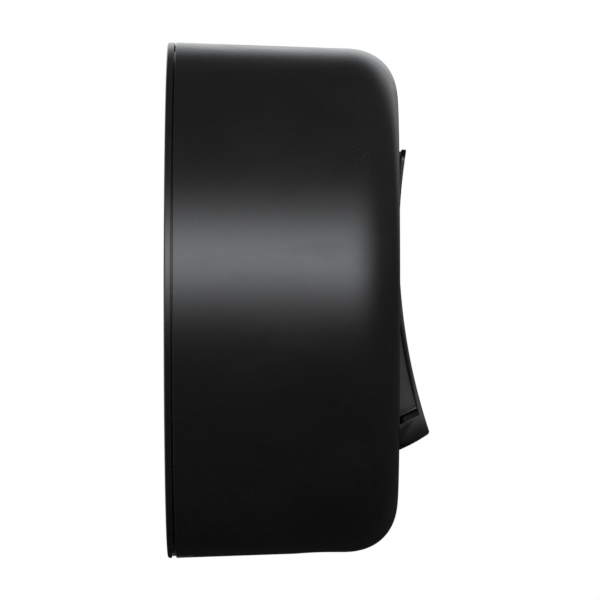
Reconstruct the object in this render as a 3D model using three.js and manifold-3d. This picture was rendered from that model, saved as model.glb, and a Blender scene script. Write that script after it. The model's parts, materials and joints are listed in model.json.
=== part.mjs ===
// Wall mounted soap dispenser: a round drum on a back plate, with a concave push lever, a piston pump,
// a fill tank and a lock. Millimetres. +Z is up, the wall is the plane y = 0 and the front faces -Y.
import * as THREE from 'three';
import { mergeVertices } from 'three/addons/utils/BufferGeometryUtils.js';
import Module from 'manifold-3d';

const wasm = await Module();
wasm.setup();

// Drum: back plate and cover
const DRUM_RADIUS = 110;
const BODY_DEPTH = 98;
const PLATE_THICK = 3;
const PLATE_EDGE_ROUND = 0.8;
const SEAM = 0.6;
const COVER_WALL = 2.8;
const COVER_DRAFT = THREE.MathUtils.degToRad(2);
const FRONT_ROUND = 24;
const FRONT_ROUND_POWER = 2.35;
const GAP = 0.3;
const SIDE_GAP = 0.4;

// Ring on the plate that centres the cover
const SPIGOT_GAP = 0.6;
const SPIGOT_WALL = 2;
const SPIGOT_DEPTH = 9;
const SPIGOT_BOTTOM_OPEN = 61;
const SPIGOT_TOP_OPEN = 14;

// Cover hinge, low at the back
const HINGE_DEPTH = 8;
const HINGE_INSET = 4;
const HINGE_DROP = DRUM_RADIUS - HINGE_INSET;
const HINGE_PIN_RADIUS = 1.1;
const HINGE_KNUCKLE_RADIUS = 2.7;
const HINGE_PIN_HALF = 17.6;
const HINGE_MIDDLE_HALF = 10;
const HINGE_LUG_WIDTH = 7.2;
const HINGE_RELIEF_HALF = 26;
const HINGE_RELIEF_DEPTH = 1.4;

// Push lever
const LEVER_WIDTH = 88;
const LEVER_TOP = 63.7;
const LEVER_ARC_RADIUS = 252;
const LEVER_ARC_HEIGHT = 23.9;
const LEVER_SKIN = 1.8;
const LEVER_INSET = 1;
const LEVER_WALL = 2.4;
const LEVER_CORNER = 5;
const LEVER_GAP = 1.2;
const LEVER_TOP_GAP = 1.7;
const TOE_LEDGE_HEIGHT = -52.65;
const TOE_LEDGE_RISE = 4.4;
const TOE_LEDGE_FALL = 2.6;
const TOE_TIP_DROP = 3.35;
const TOE_ARC_RADIUS = 70.1;
const TOE_ARC_DEPTH = BODY_DEPTH - 27.35;
const TOE_ARC_HEIGHT = TOE_LEDGE_HEIGHT + 54.05;
const TOE_TIP_FORWARD = 12.4;
const TOE_WALL = 2.2;
const SHADOW_GAP = 3.4;
const NECK_INSET = 3.4;
const TOE_REAR_DEPTH = BODY_DEPTH - 5;
const PIVOT_DEPTH = BODY_DEPTH - 10;
const PIVOT_HEIGHT = LEVER_TOP - 3.7;
const LEVER_REAR_DEPTH_TOP = PIVOT_DEPTH - 5;
const LEVER_REAR_DEPTH_LOW = PIVOT_DEPTH + 1.5;
const PIVOT_PIN_RADIUS = 2;
const PIVOT_BOSS_RADIUS = 4.6;
const EAR_RADIUS = 7;
const EAR_THICK = 3.5;
const EAR_GAP = 1.3;
const STOP_HEIGHT = -38;
const STOP_RADIUS = 3;
const STOP_THICK = 2.4;
const STOP_TAB_THICK = 2.5;
const STOP_TAB_REACH = 8;
const STOP_TAB_HALF_HEIGHT = 5;

// Pump, lying level with its piston facing the lever
const PUMP_HEIGHT = TOE_LEDGE_HEIGHT + 10.65;
const PUMP_BACK = 12;
const PUMP_FRONT = 52;
const PUMP_BORE = 7;
const PUMP_RADIUS = PUMP_BORE + 4;
const PUMP_FLOOR = 4;
const CHAMBER_DEPTH = 24;
const CAP_WALL = 2.7;
const CAP_RADIUS = PUMP_RADIUS + GAP + CAP_WALL;
const CAP_THICK = 3.4;
const CAP_SKIRT = 6;
const STEM_RADIUS = 4;
const STROKE = 14.5;
const HEAD_LENGTH = 6;
const HEAD_LAND = 1.6;
const HEAD_GROOVE = 2;
const SEAL_SLACK = 0.1;
const BUTTON_RADIUS = 11;
const BUTTON_THICK = 3.6;
const BUTTON_SKIN = 1.2;
const BUTTON_HUB_WALL = 1.5;
const BUTTON_SETBACK = 8.2;
const PRESSER_GAP = 0.5;
const PRESSER_THICK = 4.1;
const PRESSER_CROWN = 14;
const PRESSER_HALF_WIDTH = 9;
const PRESSER_HALF_HEIGHT = 4.4;
const SPRING_WIRE = 0.6;
const SPRING_RADIUS = STEM_RADIUS + 3.4;
const SPRING_TURNS = 5;

// Liquid path, down from the tank's spout
const SPOUT_RADIUS = 7;
const SPOUT_BORE = 4;
const SPOUT_LENGTH = 7;
const VALVE_THICK = 1;
const VALVE_WEB = 1.4;
const INLET_SOCKET = SPOUT_RADIUS + 2;
const INLET_RADIUS = INLET_SOCKET + 2;
const INLET_RIM_GAP = 0.5;
const SPOUT_SEAL_DROP = 2.4;
const SPOUT_SEAL_THICK = 2.6;
const PORT_RADIUS = 3;
const TUBE_BORE = 3;
const TUBE_RADIUS = TUBE_BORE + 2;
const TUBE_FLANGE = 2;
const OUTLET_BOSS_RADIUS = TUBE_RADIUS + 1.5;
const OUTLET_BOSS_DROP = PUMP_RADIUS + 5;
const TUBE_NUT_WALL = 2.3;
const TUBE_NUT_RISE = 5;
const NOZZLE_DEPTH = BODY_DEPTH - 34;
const NOZZLE_RECESS = 9.9;
const TIP_RADIUS = TUBE_RADIUS + 1.6;
const TIP_LENGTH = 9;
const TIP_NOSE = 4;
const OUTLET_HOLE_RADIUS = TIP_RADIUS + 4.4;

// Tank
const TANK_RADIUS = DRUM_RADIUS - 14;
const TANK_BOTTOM = PUMP_HEIGHT + PUMP_BORE + VALVE_WEB + VALVE_THICK + 2 * GAP + SPOUT_LENGTH;
const TANK_TOP = DRUM_RADIUS - 44;
const TANK_BACK = 8;
const TANK_FRONT = BODY_DEPTH - 30;
const TANK_WALL = 2;
const MOUTH_HALF = 22;
const MOUTH_BACK = 41;
const MOUTH_FRONT = 61;
const MOUTH_CORNER = 4;
const LID_HINGE_DEPTH = MOUTH_BACK - 5;
const LID_HINGE_HEIGHT = TANK_TOP + 3;
const LID_PIN_RADIUS = 1;
const LID_KNUCKLE_RADIUS = LID_PIN_RADIUS + 1.2;
const LID_THICK = 2.5;
const LID_MARGIN = 4;
const LID_LIFT_HALF = 8;
const LID_LIFT_REACH = 3;
const LUG_INNER = 14;
const LUG_OUTER = 20;
const GASKET_THICK = 1.2;
const GASKET_MARGIN = 1.9;

// Tank supports on the plate: ledges with a lip, rest ribs and hooks
const LEDGE_INNER = 56;
const LEDGE_WIDTH = 6;
const LEDGE_THICK = 6;
const LIP_THICK = 3;
const LIP_HEIGHT = 8;
const REST_INNER = 80;
const REST_WIDTH = 2.4;
const REST_BOTTOM = TANK_BOTTOM + 5;
const REST_TOP = TANK_BOTTOM + 55;
const HOOK_INNER = 40;
const HOOK_WIDTH = 12;
const HOOK_REACH = 14;
const HOOK_THICK = 3;

// Screw holes to the wall
const WALL_HOLE_RADIUS = 2.75;
const WALL_HOLE_X = 60;
const WALL_HOLE_HEIGHTS = [-72, TANK_TOP + 14];

// Pump bracket on the plate
const BOSS_DEPTH = 8;
const BOSS_RADIUS = 4.5;
const BRACKET_THICK = 3;
const CHEEK_THICK = 2.6;
const CHEEK_RISE = 6;
const SADDLE_LENGTH = 12;
const SCREW_X = PUMP_RADIUS + 13;
const SCREW_HEIGHTS = [PUMP_HEIGHT + 6, PUMP_HEIGHT - 18];
const SCREW_MARGIN = 6;
const SCREW_RADIUS = 1.6;
const SCREW_HEAD_RADIUS = 3.8;
const SCREW_HEAD = 2.6;
const SCREW_SLOT = 0.8;
const SCREW_SLOT_HALF = 2;

// Lock on top of the cover
const LOCK_DEPTH = 20;
const PLUG_RADIUS = 5.7;
const HOUSING_RADIUS = PLUG_RADIUS + 3.3;
const HOUSING_RECESS = 4.2;
const HOUSING_LENGTH = 12;
const LOCK_BOSS_WALL = 2.2;
const LOCK_BOSS_LENGTH = 8.2;
const KEYWAY_WIDTH = 1.4;
const KEYWAY_HALF = 3.2;
const KEYWAY_DEPTH = 8;
const TAIL_RADIUS = 3;
const CAM_DROP = 7.2;
const CAM_THICK = 3;
const CAM_HUB_RADIUS = TAIL_RADIUS + 3;
const CAM_REACH = 13;
const CAM_HALF_WIDTH = 4;
const NUT_RADIUS = TAIL_RADIUS + 2;
const NUT_THICK = 3;
const STRIKE_NEAR = CAM_HALF_WIDTH + 2;
const STRIKE_FAR = CAM_REACH + 4;
const STRIKE_THICK = 2;
const STRIKE_GAP = 0.8;
const STRIKE_CATCH = 1.5;
const STRIKE_SHELF_DROP = 4;
const STRIKE_FOOT = 8;

// Finishes
const BLACK_SATIN = { color: 0x1b1b1c, roughness: 0.38, metalness: 0 };
const BLACK_GLOSS = { color: 0x101010, roughness: 0.18, metalness: 0 };
const WARM_GREY = { color: 0x282624, roughness: 0.6, metalness: 0 };
const NATURAL = { color: 0xdde2e2, roughness: 0.35, metalness: 0 };
const WHITE = { color: 0xe6e6e2, roughness: 0.45, metalness: 0 };
const PALE_GREY = { color: 0x9a9c9e, roughness: 0.5, metalness: 0 };
const RUBBER = { color: 0x161616, roughness: 0.85, metalness: 0 };
const SILICONE = { color: 0xc9d3d6, roughness: 0.5, metalness: 0 };
const STEEL = { color: 0xb4b6b8, roughness: 0.3, metalness: 1 };
const ZINC = { color: 0x9c9a94, roughness: 0.4, metalness: 1 };

const DRUM_SIDES = 64;
const FRONT_STEPS = 8;

// A closed three.js geometry as a solid, with its faces turned outwards.
function solid(geometry) {
  geometry.deleteAttribute('normal');
  geometry.deleteAttribute('uv');
  const merged = mergeVertices(geometry, 1e-4);
  const points = merged.attributes.position.array;
  const all = merged.index.array;
  const corners = [];
  for (let i = 0; i < all.length; i += 3) {
    const [a, b, c] = [all[i], all[i + 1], all[i + 2]];
    if (a !== b && b !== c && c !== a) corners.push(a, b, c);
  }
  const at = (i) => new THREE.Vector3().fromArray(points, 3 * i);
  let volume = 0;
  for (let i = 0; i < corners.length; i += 3) {
    volume += at(corners[i]).dot(at(corners[i + 1]).cross(at(corners[i + 2])));
  }
  if (volume < 0) corners.reverse();
  const mesh = new wasm.Mesh({
    numProp: 3, vertProperties: new Float32Array(points), triVerts: new Uint32Array(corners),
  });
  return new wasm.Manifold(mesh);
}

function box(x0, x1, y0, y1, z0, z1) {
  const geometry = new THREE.BoxGeometry(x1 - x0, y1 - y0, z1 - z0);
  return solid(geometry.translate((x0 + x1) / 2, (y0 + y1) / 2, (z0 + z1) / 2));
}

// Shape drawn across an axis and pulled along it: (y, z) for x, (x, z) for y and (x, y) for z.
function prism(axis, shape, from, to, curveSegments = 12) {
  const geometry = new THREE.ExtrudeGeometry(shape, { depth: to - from, bevelEnabled: false, curveSegments });
  geometry.translate(0, 0, from);
  const [x, y, z] = [new THREE.Vector3(1, 0, 0), new THREE.Vector3(0, 1, 0), new THREE.Vector3(0, 0, 1)];
  const frame = new THREE.Matrix4();
  if (axis === 'x') frame.makeBasis(y, z, x);
  if (axis === 'y') frame.makeBasis(x, z, y);
  return solid(geometry.applyMatrix4(frame));
}

// Profile of [radius, height] points turned about an axis through (a, b).
function turned(axis, profile, a = 0, b = 0, sides = 24) {
  const points = profile.map(([radius, height]) => new THREE.Vector2(radius, height));
  const geometry = new THREE.LatheGeometry(points, sides);
  if (axis === 'x') geometry.rotateZ(-Math.PI / 2).translate(0, a, b);
  if (axis === 'y') geometry.translate(a, 0, b);
  if (axis === 'z') geometry.rotateX(Math.PI / 2).translate(a, b, 0);
  return solid(geometry);
}

function rod(axis, radius, from, to, a = 0, b = 0, sides = 24) {
  return turned(axis, [[0, from], [radius, from], [radius, to], [0, to]], a, b, sides);
}

function tube(axis, outer, inner, from, to, a = 0, b = 0, sides = 24) {
  const profile = [[inner, from], [outer, from], [outer, to], [inner, to], [inner, from]];
  return turned(axis, profile, a, b, sides);
}

function outline(points) {
  return new THREE.Shape(points.map(([u, v]) => new THREE.Vector2(u, v)));
}

function roundedRectangle(u0, u1, v0, v1, radius) {
  const shape = new THREE.Shape();
  shape.moveTo(u0 + radius, v0);
  shape.lineTo(u1 - radius, v0);
  shape.absarc(u1 - radius, v0 + radius, radius, -Math.PI / 2, 0);
  shape.lineTo(u1, v1 - radius);
  shape.absarc(u1 - radius, v1 - radius, radius, 0, Math.PI / 2);
  shape.lineTo(u0 + radius, v1);
  shape.absarc(u0 + radius, v1 - radius, radius, Math.PI / 2, Math.PI);
  shape.lineTo(u0, v0 + radius);
  shape.absarc(u0 + radius, v0 + radius, radius, Math.PI, 1.5 * Math.PI);
  return shape;
}

const dispenser = new THREE.Group();

function part(name, shape, finish) {
  const { vertProperties, triVerts } = shape.getMesh();
  const geometry = new THREE.BufferGeometry();
  geometry.setAttribute('position', new THREE.BufferAttribute(vertProperties, 3));
  geometry.setIndex(new THREE.BufferAttribute(triVerts, 1));
  const mesh = new THREE.Mesh(geometry, new THREE.MeshStandardMaterial(finish));
  mesh.name = name;
  dispenser.add(mesh);
}

// Outer radius of the drum's tapered skirt at a depth from the wall
function drumRadius(depth) {
  return DRUM_RADIUS - Math.tan(COVER_DRAFT) * (depth - PLATE_THICK - SEAM);
}

// Half section of the drum, from its open back to the middle of its front, moved in by inset
function drumProfile(back, inset) {
  const front = BODY_DEPTH - inset;
  const round = FRONT_ROUND - inset;
  const shoulder = front - round;
  const profile = [[0, -back], [drumRadius(back) - inset, -back]];
  for (let i = 0; i <= FRONT_STEPS; i += 1) {
    const turn = (i / FRONT_STEPS) * (Math.PI / 2);
    const forward = round * Math.sin(turn) ** (2 / FRONT_ROUND_POWER);
    const inward = round * (1 - Math.max(0, Math.cos(turn)) ** (2 / FRONT_ROUND_POWER));
    profile.push([drumRadius(shoulder) - inset - inward, -shoulder - forward]);
  }
  profile.push([0, -front]);
  return profile;
}

// Front face of the lever: an arc hollow towards the hand. Set back moves it towards the wall.
function leverFaceY(height, setBack = 0) {
  const radius = LEVER_ARC_RADIUS + setBack;
  const centre = -BODY_DEPTH - LEVER_ARC_RADIUS;
  return centre + Math.sqrt(radius ** 2 - (height - LEVER_ARC_HEIGHT) ** 2);
}

function leverArc(from, to, setBack, steps = 14) {
  const points = [];
  for (let i = 0; i <= steps; i += 1) {
    const height = from + ((to - from) * i) / steps;
    points.push([leverFaceY(height, setBack), height]);
  }
  return points;
}

// Underside of the lever's toe at a depth from the wall
function toeHeight(depth) {
  return TOE_ARC_HEIGHT - Math.sqrt(TOE_ARC_RADIUS ** 2 - (depth - TOE_ARC_DEPTH) ** 2);
}

const toeReach = Math.hypot(TOE_REAR_DEPTH - PIVOT_DEPTH, PIVOT_HEIGHT - toeHeight(TOE_REAR_DEPTH));
const windowBottom = PIVOT_HEIGHT - toeReach - LEVER_GAP;
const windowTop = LEVER_TOP + LEVER_TOP_GAP;
const windowHalf = LEVER_WIDTH / 2 + LEVER_GAP;
const earInner = windowHalf + EAR_GAP;
const innerFront = BODY_DEPTH - COVER_WALL;
const coverBack = PLATE_THICK + SEAM;
const lugNear = HINGE_MIDDLE_HALF + SIDE_GAP;
const lugFar = lugNear + HINGE_LUG_WIDTH;
const pistonFront = innerFront - BUTTON_SETBACK;
const headBack = -(PUMP_BACK + PUMP_FLOOR + STROKE + 1);
const buttonBack = -pistonFront + BUTTON_THICK;
const tubeStart = PUMP_HEIGHT - OUTLET_BOSS_DROP - SIDE_GAP;
const nozzleEnd = -drumRadius(NOZZLE_DEPTH) + NOZZLE_RECESS;
const housingTop = drumRadius(LOCK_DEPTH) - HOUSING_RECESS;
const housingBottom = housingTop - HOUSING_LENGTH;
const lockBossBottom = housingTop - LOCK_BOSS_LENGTH;
const camBottom = housingBottom - CAM_DROP;
const camTop = camBottom + CAM_THICK;

function makeBackPlate() {
  let plate = turned('y', [
    [0, 0], [DRUM_RADIUS - PLATE_EDGE_ROUND, 0], [DRUM_RADIUS, -PLATE_EDGE_ROUND],
    [DRUM_RADIUS, -PLATE_THICK], [0, -PLATE_THICK],
  ], 0, 0, DRUM_SIDES);
  const ringRadius = (depth) => drumRadius(depth) - COVER_WALL - SPIGOT_GAP;
  const ringBack = PLATE_THICK - 1;
  let ring = turned('y', [
    [ringRadius(ringBack), -ringBack], [ringRadius(SPIGOT_DEPTH), -SPIGOT_DEPTH],
    [ringRadius(SPIGOT_DEPTH) - SPIGOT_WALL, -SPIGOT_DEPTH], [ringRadius(ringBack) - SPIGOT_WALL, -ringBack],
    [ringRadius(ringBack), -ringBack],
  ], 0, 0, DRUM_SIDES);
  const far = DRUM_RADIUS + 10;
  ring = ring.subtract(box(-SPIGOT_BOTTOM_OPEN, SPIGOT_BOTTOM_OPEN, -SPIGOT_DEPTH - 1, 0, -far, 0));
  ring = ring.subtract(box(-SPIGOT_TOP_OPEN, SPIGOT_TOP_OPEN, -SPIGOT_DEPTH - 1, 0, 0, far));
  plate = plate.add(ring);
  const reliefTop = -HINGE_DROP + HINGE_KNUCKLE_RADIUS + 2 * GAP;
  const [reliefLow, reliefHigh] = [-PLATE_THICK - 1, -PLATE_THICK + HINGE_RELIEF_DEPTH];
  plate = plate.subtract(box(-HINGE_RELIEF_HALF, HINGE_RELIEF_HALF, reliefLow, reliefHigh, -far, reliefTop));
  const drum = rod('y', drumRadius(HINGE_DEPTH) - 0.2, -HINGE_DEPTH - 5, 1, 0, 0, DRUM_SIDES);
  for (const side of [-1, 1]) {
    const [near, out] = side > 0 ? [lugNear, lugFar] : [-lugFar, -lugNear];
    const root = -PLATE_THICK / 2;
    let lug = box(near, out, -HINGE_DEPTH, root, -HINGE_DROP - HINGE_KNUCKLE_RADIUS, reliefTop - 2 * GAP);
    lug = lug.add(rod('x', HINGE_KNUCKLE_RADIUS, near, out, -HINGE_DEPTH, -HINGE_DROP, 24));
    lug = lug.subtract(rod('x', HINGE_PIN_RADIUS + GAP, near - 1, out + 1, -HINGE_DEPTH, -HINGE_DROP, 24));
    plate = plate.add(lug.intersect(drum));
    plate = plate.add(makeTankArm(side));
    const bossX = side * SCREW_X;
    for (const height of SCREW_HEIGHTS) {
      plate = plate.add(rod('y', BOSS_RADIUS, -BOSS_DEPTH, -PLATE_THICK + 1, bossX, height, 24));
      const pilot = rod('y', SCREW_RADIUS + GAP, -BOSS_DEPTH - 1, -PLATE_THICK + 1, bossX, height, 16);
      plate = plate.subtract(pilot);
    }
  }
  for (const x of [-WALL_HOLE_X, WALL_HOLE_X]) {
    for (const height of WALL_HOLE_HEIGHTS) {
      plate = plate.subtract(rod('y', WALL_HOLE_RADIUS, -PLATE_THICK - 1, 1, x, height, 24));
    }
  }
  return plate;
}

// One side's tank supports: a ledge with a front lip, a rest rib and a hook over the top
function makeTankArm(side) {
  const span = (inner, width) => (side > 0 ? [inner, inner + width] : [-inner - width, -inner]);
  const root = -PLATE_THICK + 1;
  const ledgeTop = TANK_BOTTOM - SIDE_GAP;
  const lipBack = TANK_FRONT + SIDE_GAP;
  const hookLow = TANK_TOP + SIDE_GAP;
  const [a, b] = span(LEDGE_INNER, LEDGE_WIDTH);
  let arm = box(a, b, -lipBack - LIP_THICK, root, ledgeTop - LEDGE_THICK, ledgeTop);
  arm = arm.add(box(a, b, -lipBack - LIP_THICK, -lipBack, ledgeTop - 1, TANK_BOTTOM + LIP_HEIGHT));
  const [c, d] = span(HOOK_INNER, HOOK_WIDTH);
  arm = arm.add(box(c, d, -HOOK_REACH, root, hookLow, hookLow + HOOK_THICK));
  const [e, f] = span(REST_INNER, REST_WIDTH);
  return arm.add(box(e, f, -TANK_BACK + GAP, root, REST_BOTTOM, REST_TOP));
}

function makeCover() {
  let cover = turned('y', drumProfile(coverBack, 0), 0, 0, DRUM_SIDES);
  cover = cover.subtract(turned('y', drumProfile(coverBack - 1, COVER_WALL), 0, 0, DRUM_SIDES));
  const window = roundedRectangle(-windowHalf, windowHalf, windowBottom, windowTop, LEVER_CORNER + LEVER_GAP);
  cover = cover.subtract(prism('y', window, -BODY_DEPTH - 1, -innerFront + 1, 4));
  // Ears for the lever's pin
  for (const side of [-1, 1]) {
    const [a, b] = side > 0 ? [earInner, earInner + EAR_THICK] : [-earInner - EAR_THICK, -earInner];
    let ear = box(a, b, -innerFront - 1, -PIVOT_DEPTH, PIVOT_HEIGHT - EAR_RADIUS, PIVOT_HEIGHT + EAR_RADIUS);
    ear = ear.add(rod('x', EAR_RADIUS, a, b, -PIVOT_DEPTH, PIVOT_HEIGHT, 24));
    const pinHole = rod('x', PIVOT_PIN_RADIUS + GAP, a - 1, b + 1, -PIVOT_DEPTH, PIVOT_HEIGHT, 24);
    cover = cover.add(ear.subtract(pinHole));
  }
  // Outlet for the nozzle
  const low = -drumRadius(NOZZLE_DEPTH);
  cover = cover.subtract(rod('z', OUTLET_HOLE_RADIUS, low - 2, low + COVER_WALL + 4, 0, -NOZZLE_DEPTH, 32));
  // Middle knuckle, and notches that the plate's lugs swing through
  const drum = rod('y', drumRadius(HINGE_DEPTH), -HINGE_DEPTH - 5, -coverBack, 0, 0, DRUM_SIDES);
  const knuckle = rod(
    'x', HINGE_KNUCKLE_RADIUS, -HINGE_MIDDLE_HALF, HINGE_MIDDLE_HALF, -HINGE_DEPTH, -HINGE_DROP, 24,
  );
  cover = cover.add(knuckle.intersect(drum));
  cover = cover.subtract(rod('x', HINGE_PIN_RADIUS + GAP, -lugFar, lugFar, -HINGE_DEPTH, -HINGE_DROP, 24));
  for (const side of [-1, 1]) {
    const far = lugFar + SIDE_GAP;
    const [a, b] = side > 0 ? [HINGE_MIDDLE_HALF, far] : [-far, -HINGE_MIDDLE_HALF];
    const swing = HINGE_KNUCKLE_RADIUS + 2 * GAP;
    cover = cover.subtract(box(a, b, -HINGE_DEPTH - swing, 0, -DRUM_RADIUS - 2, -HINGE_DROP + swing));
  }
  // Boss and hole for the lock
  const bossRadius = HOUSING_RADIUS + GAP + LOCK_BOSS_WALL;
  const inside = turned('y', drumProfile(coverBack, COVER_WALL / 2), 0, 0, DRUM_SIDES);
  const boss = rod('z', bossRadius, lockBossBottom, DRUM_RADIUS, 0, -LOCK_DEPTH, 32).intersect(inside);
  cover = cover.add(boss);
  cover = cover.subtract(rod('z', HOUSING_RADIUS + GAP, lockBossBottom - 1, housingTop + GAP, 0, -LOCK_DEPTH));
  return cover.subtract(rod('z', PLUG_RADIUS + GAP, housingTop - 1, DRUM_RADIUS + 2, 0, -LOCK_DEPTH));
}

function makeHingePin() {
  return rod('x', HINGE_PIN_RADIUS, -HINGE_PIN_HALF, HINGE_PIN_HALF, -HINGE_DEPTH, -HINGE_DROP, 20);
}

// Thin hollow-fronted skin of the lever, with the toe that the hand meets at its foot and, above the
// toe's ledge, a narrower neck that leaves a shadow gap under the carrier
function makeLeverFace() {
  const half = LEVER_WIDTH / 2;
  const ledgeFront = TOE_LEDGE_HEIGHT + TOE_LEDGE_RISE;
  const ledgeRear = TOE_LEDGE_HEIGHT - TOE_LEDGE_FALL;
  const skin = [
    ...leverArc(LEVER_TOP, TOE_LEDGE_HEIGHT - TOE_TIP_DROP, 0),
    ...toeArc(BODY_DEPTH + TOE_TIP_FORWARD, TOE_REAR_DEPTH),
    [-TOE_REAR_DEPTH, ledgeRear],
    [-BODY_DEPTH, TOE_LEDGE_HEIGHT],
    ...leverArc(ledgeFront, LEVER_TOP, LEVER_SKIN),
  ];
  const neckTop = SHADOW_GAP - 3 * GAP;
  const neck = [
    [leverFaceY(ledgeFront, LEVER_SKIN / 2), ledgeFront - 1],
    [-BODY_DEPTH, TOE_LEDGE_HEIGHT - 1],
    [-BODY_DEPTH, TOE_LEDGE_HEIGHT + neckTop],
    [leverFaceY(ledgeFront + neckTop, LEVER_SKIN / 2), ledgeFront + neckTop],
  ];
  let face = prism('x', outline(skin), -half, half);
  face = face.add(prism('x', outline(neck), -half + NECK_INSET, half - NECK_INSET));
  const pocketFront = BODY_DEPTH + TOE_TIP_FORWARD - TOE_LEDGE_RISE;
  const pocket = [
    [-pocketFront, ledgeFront - TOE_WALL],
    ...toeArc(pocketFront, TOE_REAR_DEPTH - 1, TOE_WALL),
    [-TOE_REAR_DEPTH + 1, ledgeRear - TOE_WALL],
    [-BODY_DEPTH, TOE_LEDGE_HEIGHT - TOE_WALL],
  ];
  face = face.subtract(prism('x', outline(pocket), -half + TOE_WALL, half - TOE_WALL));
  const front = roundedRectangle(-half, half, toeHeight(TOE_REAR_DEPTH), LEVER_TOP, LEVER_CORNER);
  return face.intersect(prism('y', front, -BODY_DEPTH - 20, -BODY_DEPTH + 20, 5));
}

// Points on the toe's underside from one depth to another
function toeArc(fromDepth, toDepth, lift = 0, steps = 6) {
  const points = [];
  for (let i = 0; i <= steps; i += 1) {
    const depth = fromDepth + ((toDepth - fromDepth) * i) / steps;
    points.push([-depth, toeHeight(depth) + lift]);
  }
  return points;
}

// Carrier behind the lever's skin: side walls, pin bosses, stop tabs and the post that works the pump
function makeLeverBody() {
  const half = LEVER_WIDTH / 2 - LEVER_INSET;
  const top = LEVER_TOP - LEVER_INSET;
  const setBack = LEVER_SKIN + GAP;
  const lowFront = TOE_LEDGE_HEIGHT + TOE_LEDGE_RISE + SHADOW_GAP;
  const low = TOE_LEDGE_HEIGHT + SHADOW_GAP;
  const side = outline([
    ...leverArc(top, lowFront, setBack),
    [-BODY_DEPTH, low],
    [-LEVER_REAR_DEPTH_LOW, low],
    [-LEVER_REAR_DEPTH_TOP, top],
  ]);
  let body = prism('x', side, -half, half);
  const hollow = outline([
    ...leverArc(top - LEVER_WALL, lowFront + LEVER_WALL, setBack + LEVER_WALL),
    [-BODY_DEPTH, low + LEVER_WALL],
    [-LEVER_REAR_DEPTH_LOW + 4, low + LEVER_WALL],
    [-LEVER_REAR_DEPTH_TOP + 4, top - LEVER_WALL],
  ]);
  body = body.subtract(prism('x', hollow, -half + LEVER_WALL, half - LEVER_WALL));
  const tabBack = innerFront - STOP_THICK - 2 * GAP;
  for (const sign of [-1, 1]) {
    const [a, b] = sign > 0 ? [half - 7, half] : [-half, -half + 7];
    body = body.add(rod('x', PIVOT_BOSS_RADIUS - 1, a, b, -PIVOT_DEPTH, PIVOT_HEIGHT - 0.6, 24));
    const [c, d] = sign > 0 ? [half - 1, half + STOP_TAB_REACH] : [-half - STOP_TAB_REACH, -half + 1];
    body = body.add(box(c, d, -tabBack, -tabBack + STOP_TAB_THICK,
      STOP_HEIGHT - STOP_TAB_HALF_HEIGHT, STOP_HEIGHT + STOP_TAB_HALF_HEIGHT));
  }
  const postFront = leverFaceY(PUMP_HEIGHT, setBack + LEVER_WALL / 2);
  const postBack = -pistonFront - PRESSER_GAP - PRESSER_THICK - GAP;
  const post = box(-PRESSER_HALF_WIDTH, PRESSER_HALF_WIDTH, postFront, postBack,
    PUMP_HEIGHT - PRESSER_HALF_HEIGHT, PUMP_HEIGHT + PRESSER_HALF_HEIGHT);
  body = body.add(post.intersect(prism('x', side, -half, half)));
  return body.subtract(rod('x', PIVOT_PIN_RADIUS + GAP, -half - 1, half + 1, -PIVOT_DEPTH, PIVOT_HEIGHT, 24));
}

function makePresserPad() {
  const back = -pistonFront - PRESSER_GAP;
  const front = back - PRESSER_THICK;
  const pad = box(-PRESSER_HALF_WIDTH, PRESSER_HALF_WIDTH, front, back,
    PUMP_HEIGHT - PRESSER_HALF_HEIGHT, PUMP_HEIGHT + PRESSER_HALF_HEIGHT);
  const crown = rod('x', PRESSER_CROWN, -PRESSER_HALF_WIDTH - 1, PRESSER_HALF_WIDTH + 1,
    back - PRESSER_CROWN, PUMP_HEIGHT, 72);
  return pad.intersect(crown);
}

function makePumpBody() {
  const centre = PUMP_HEIGHT;
  const chamber = -CHAMBER_DEPTH;
  let body = rod('y', PUMP_RADIUS, -PUMP_FRONT, -PUMP_BACK, 0, centre);
  const inletTop = TANK_BOTTOM - INLET_RIM_GAP;
  body = body.add(rod('z', INLET_RADIUS, centre, inletTop, 0, chamber));
  body = body.add(rod('z', OUTLET_BOSS_RADIUS, centre - OUTLET_BOSS_DROP, centre, 0, chamber));
  const socketFloor = TANK_BOTTOM - SPOUT_LENGTH - VALVE_THICK - 2 * GAP;
  body = body.subtract(rod('z', INLET_SOCKET, socketFloor, inletTop + 1, 0, chamber));
  body = body.subtract(rod('y', PUMP_BORE, -PUMP_FRONT - 1, -PUMP_BACK - PUMP_FLOOR, 0, centre));
  return body.subtract(rod('z', PORT_RADIUS, centre - OUTLET_BOSS_DROP - 1, socketFloor + 1, 0, chamber, 24));
}

// Screwed collar that closes the cylinder and guides the stem
function makePumpCap() {
  const back = -PUMP_FRONT - GAP;
  const cap = rod('y', CAP_RADIUS, back - CAP_THICK, -PUMP_FRONT + CAP_SKIRT, 0, PUMP_HEIGHT, 40);
  const thread = rod('y', PUMP_RADIUS + GAP, back, -PUMP_FRONT + CAP_SKIRT + 1, 0, PUMP_HEIGHT, 40);
  const guide = rod('y', STEM_RADIUS + GAP, back - CAP_THICK - 1, back + 1, 0, PUMP_HEIGHT, 32);
  return cap.subtract(thread).subtract(guide);
}

function makePiston() {
  const groove = PUMP_BORE - HEAD_GROOVE;
  const flange = PUMP_BORE - GAP;
  const headFront = headBack - HEAD_LENGTH;
  const stemEnd = buttonBack - BUTTON_SKIN;
  return turned('y', [
    [0, headBack], [flange, headBack], [flange, headBack - HEAD_LAND], [groove, headBack - HEAD_LAND],
    [groove, headFront + HEAD_LAND], [flange, headFront + HEAD_LAND], [flange, headFront],
    [STEM_RADIUS, headFront], [STEM_RADIUS, stemEnd], [0, stemEnd],
  ], 0, PUMP_HEIGHT);
}

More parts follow.
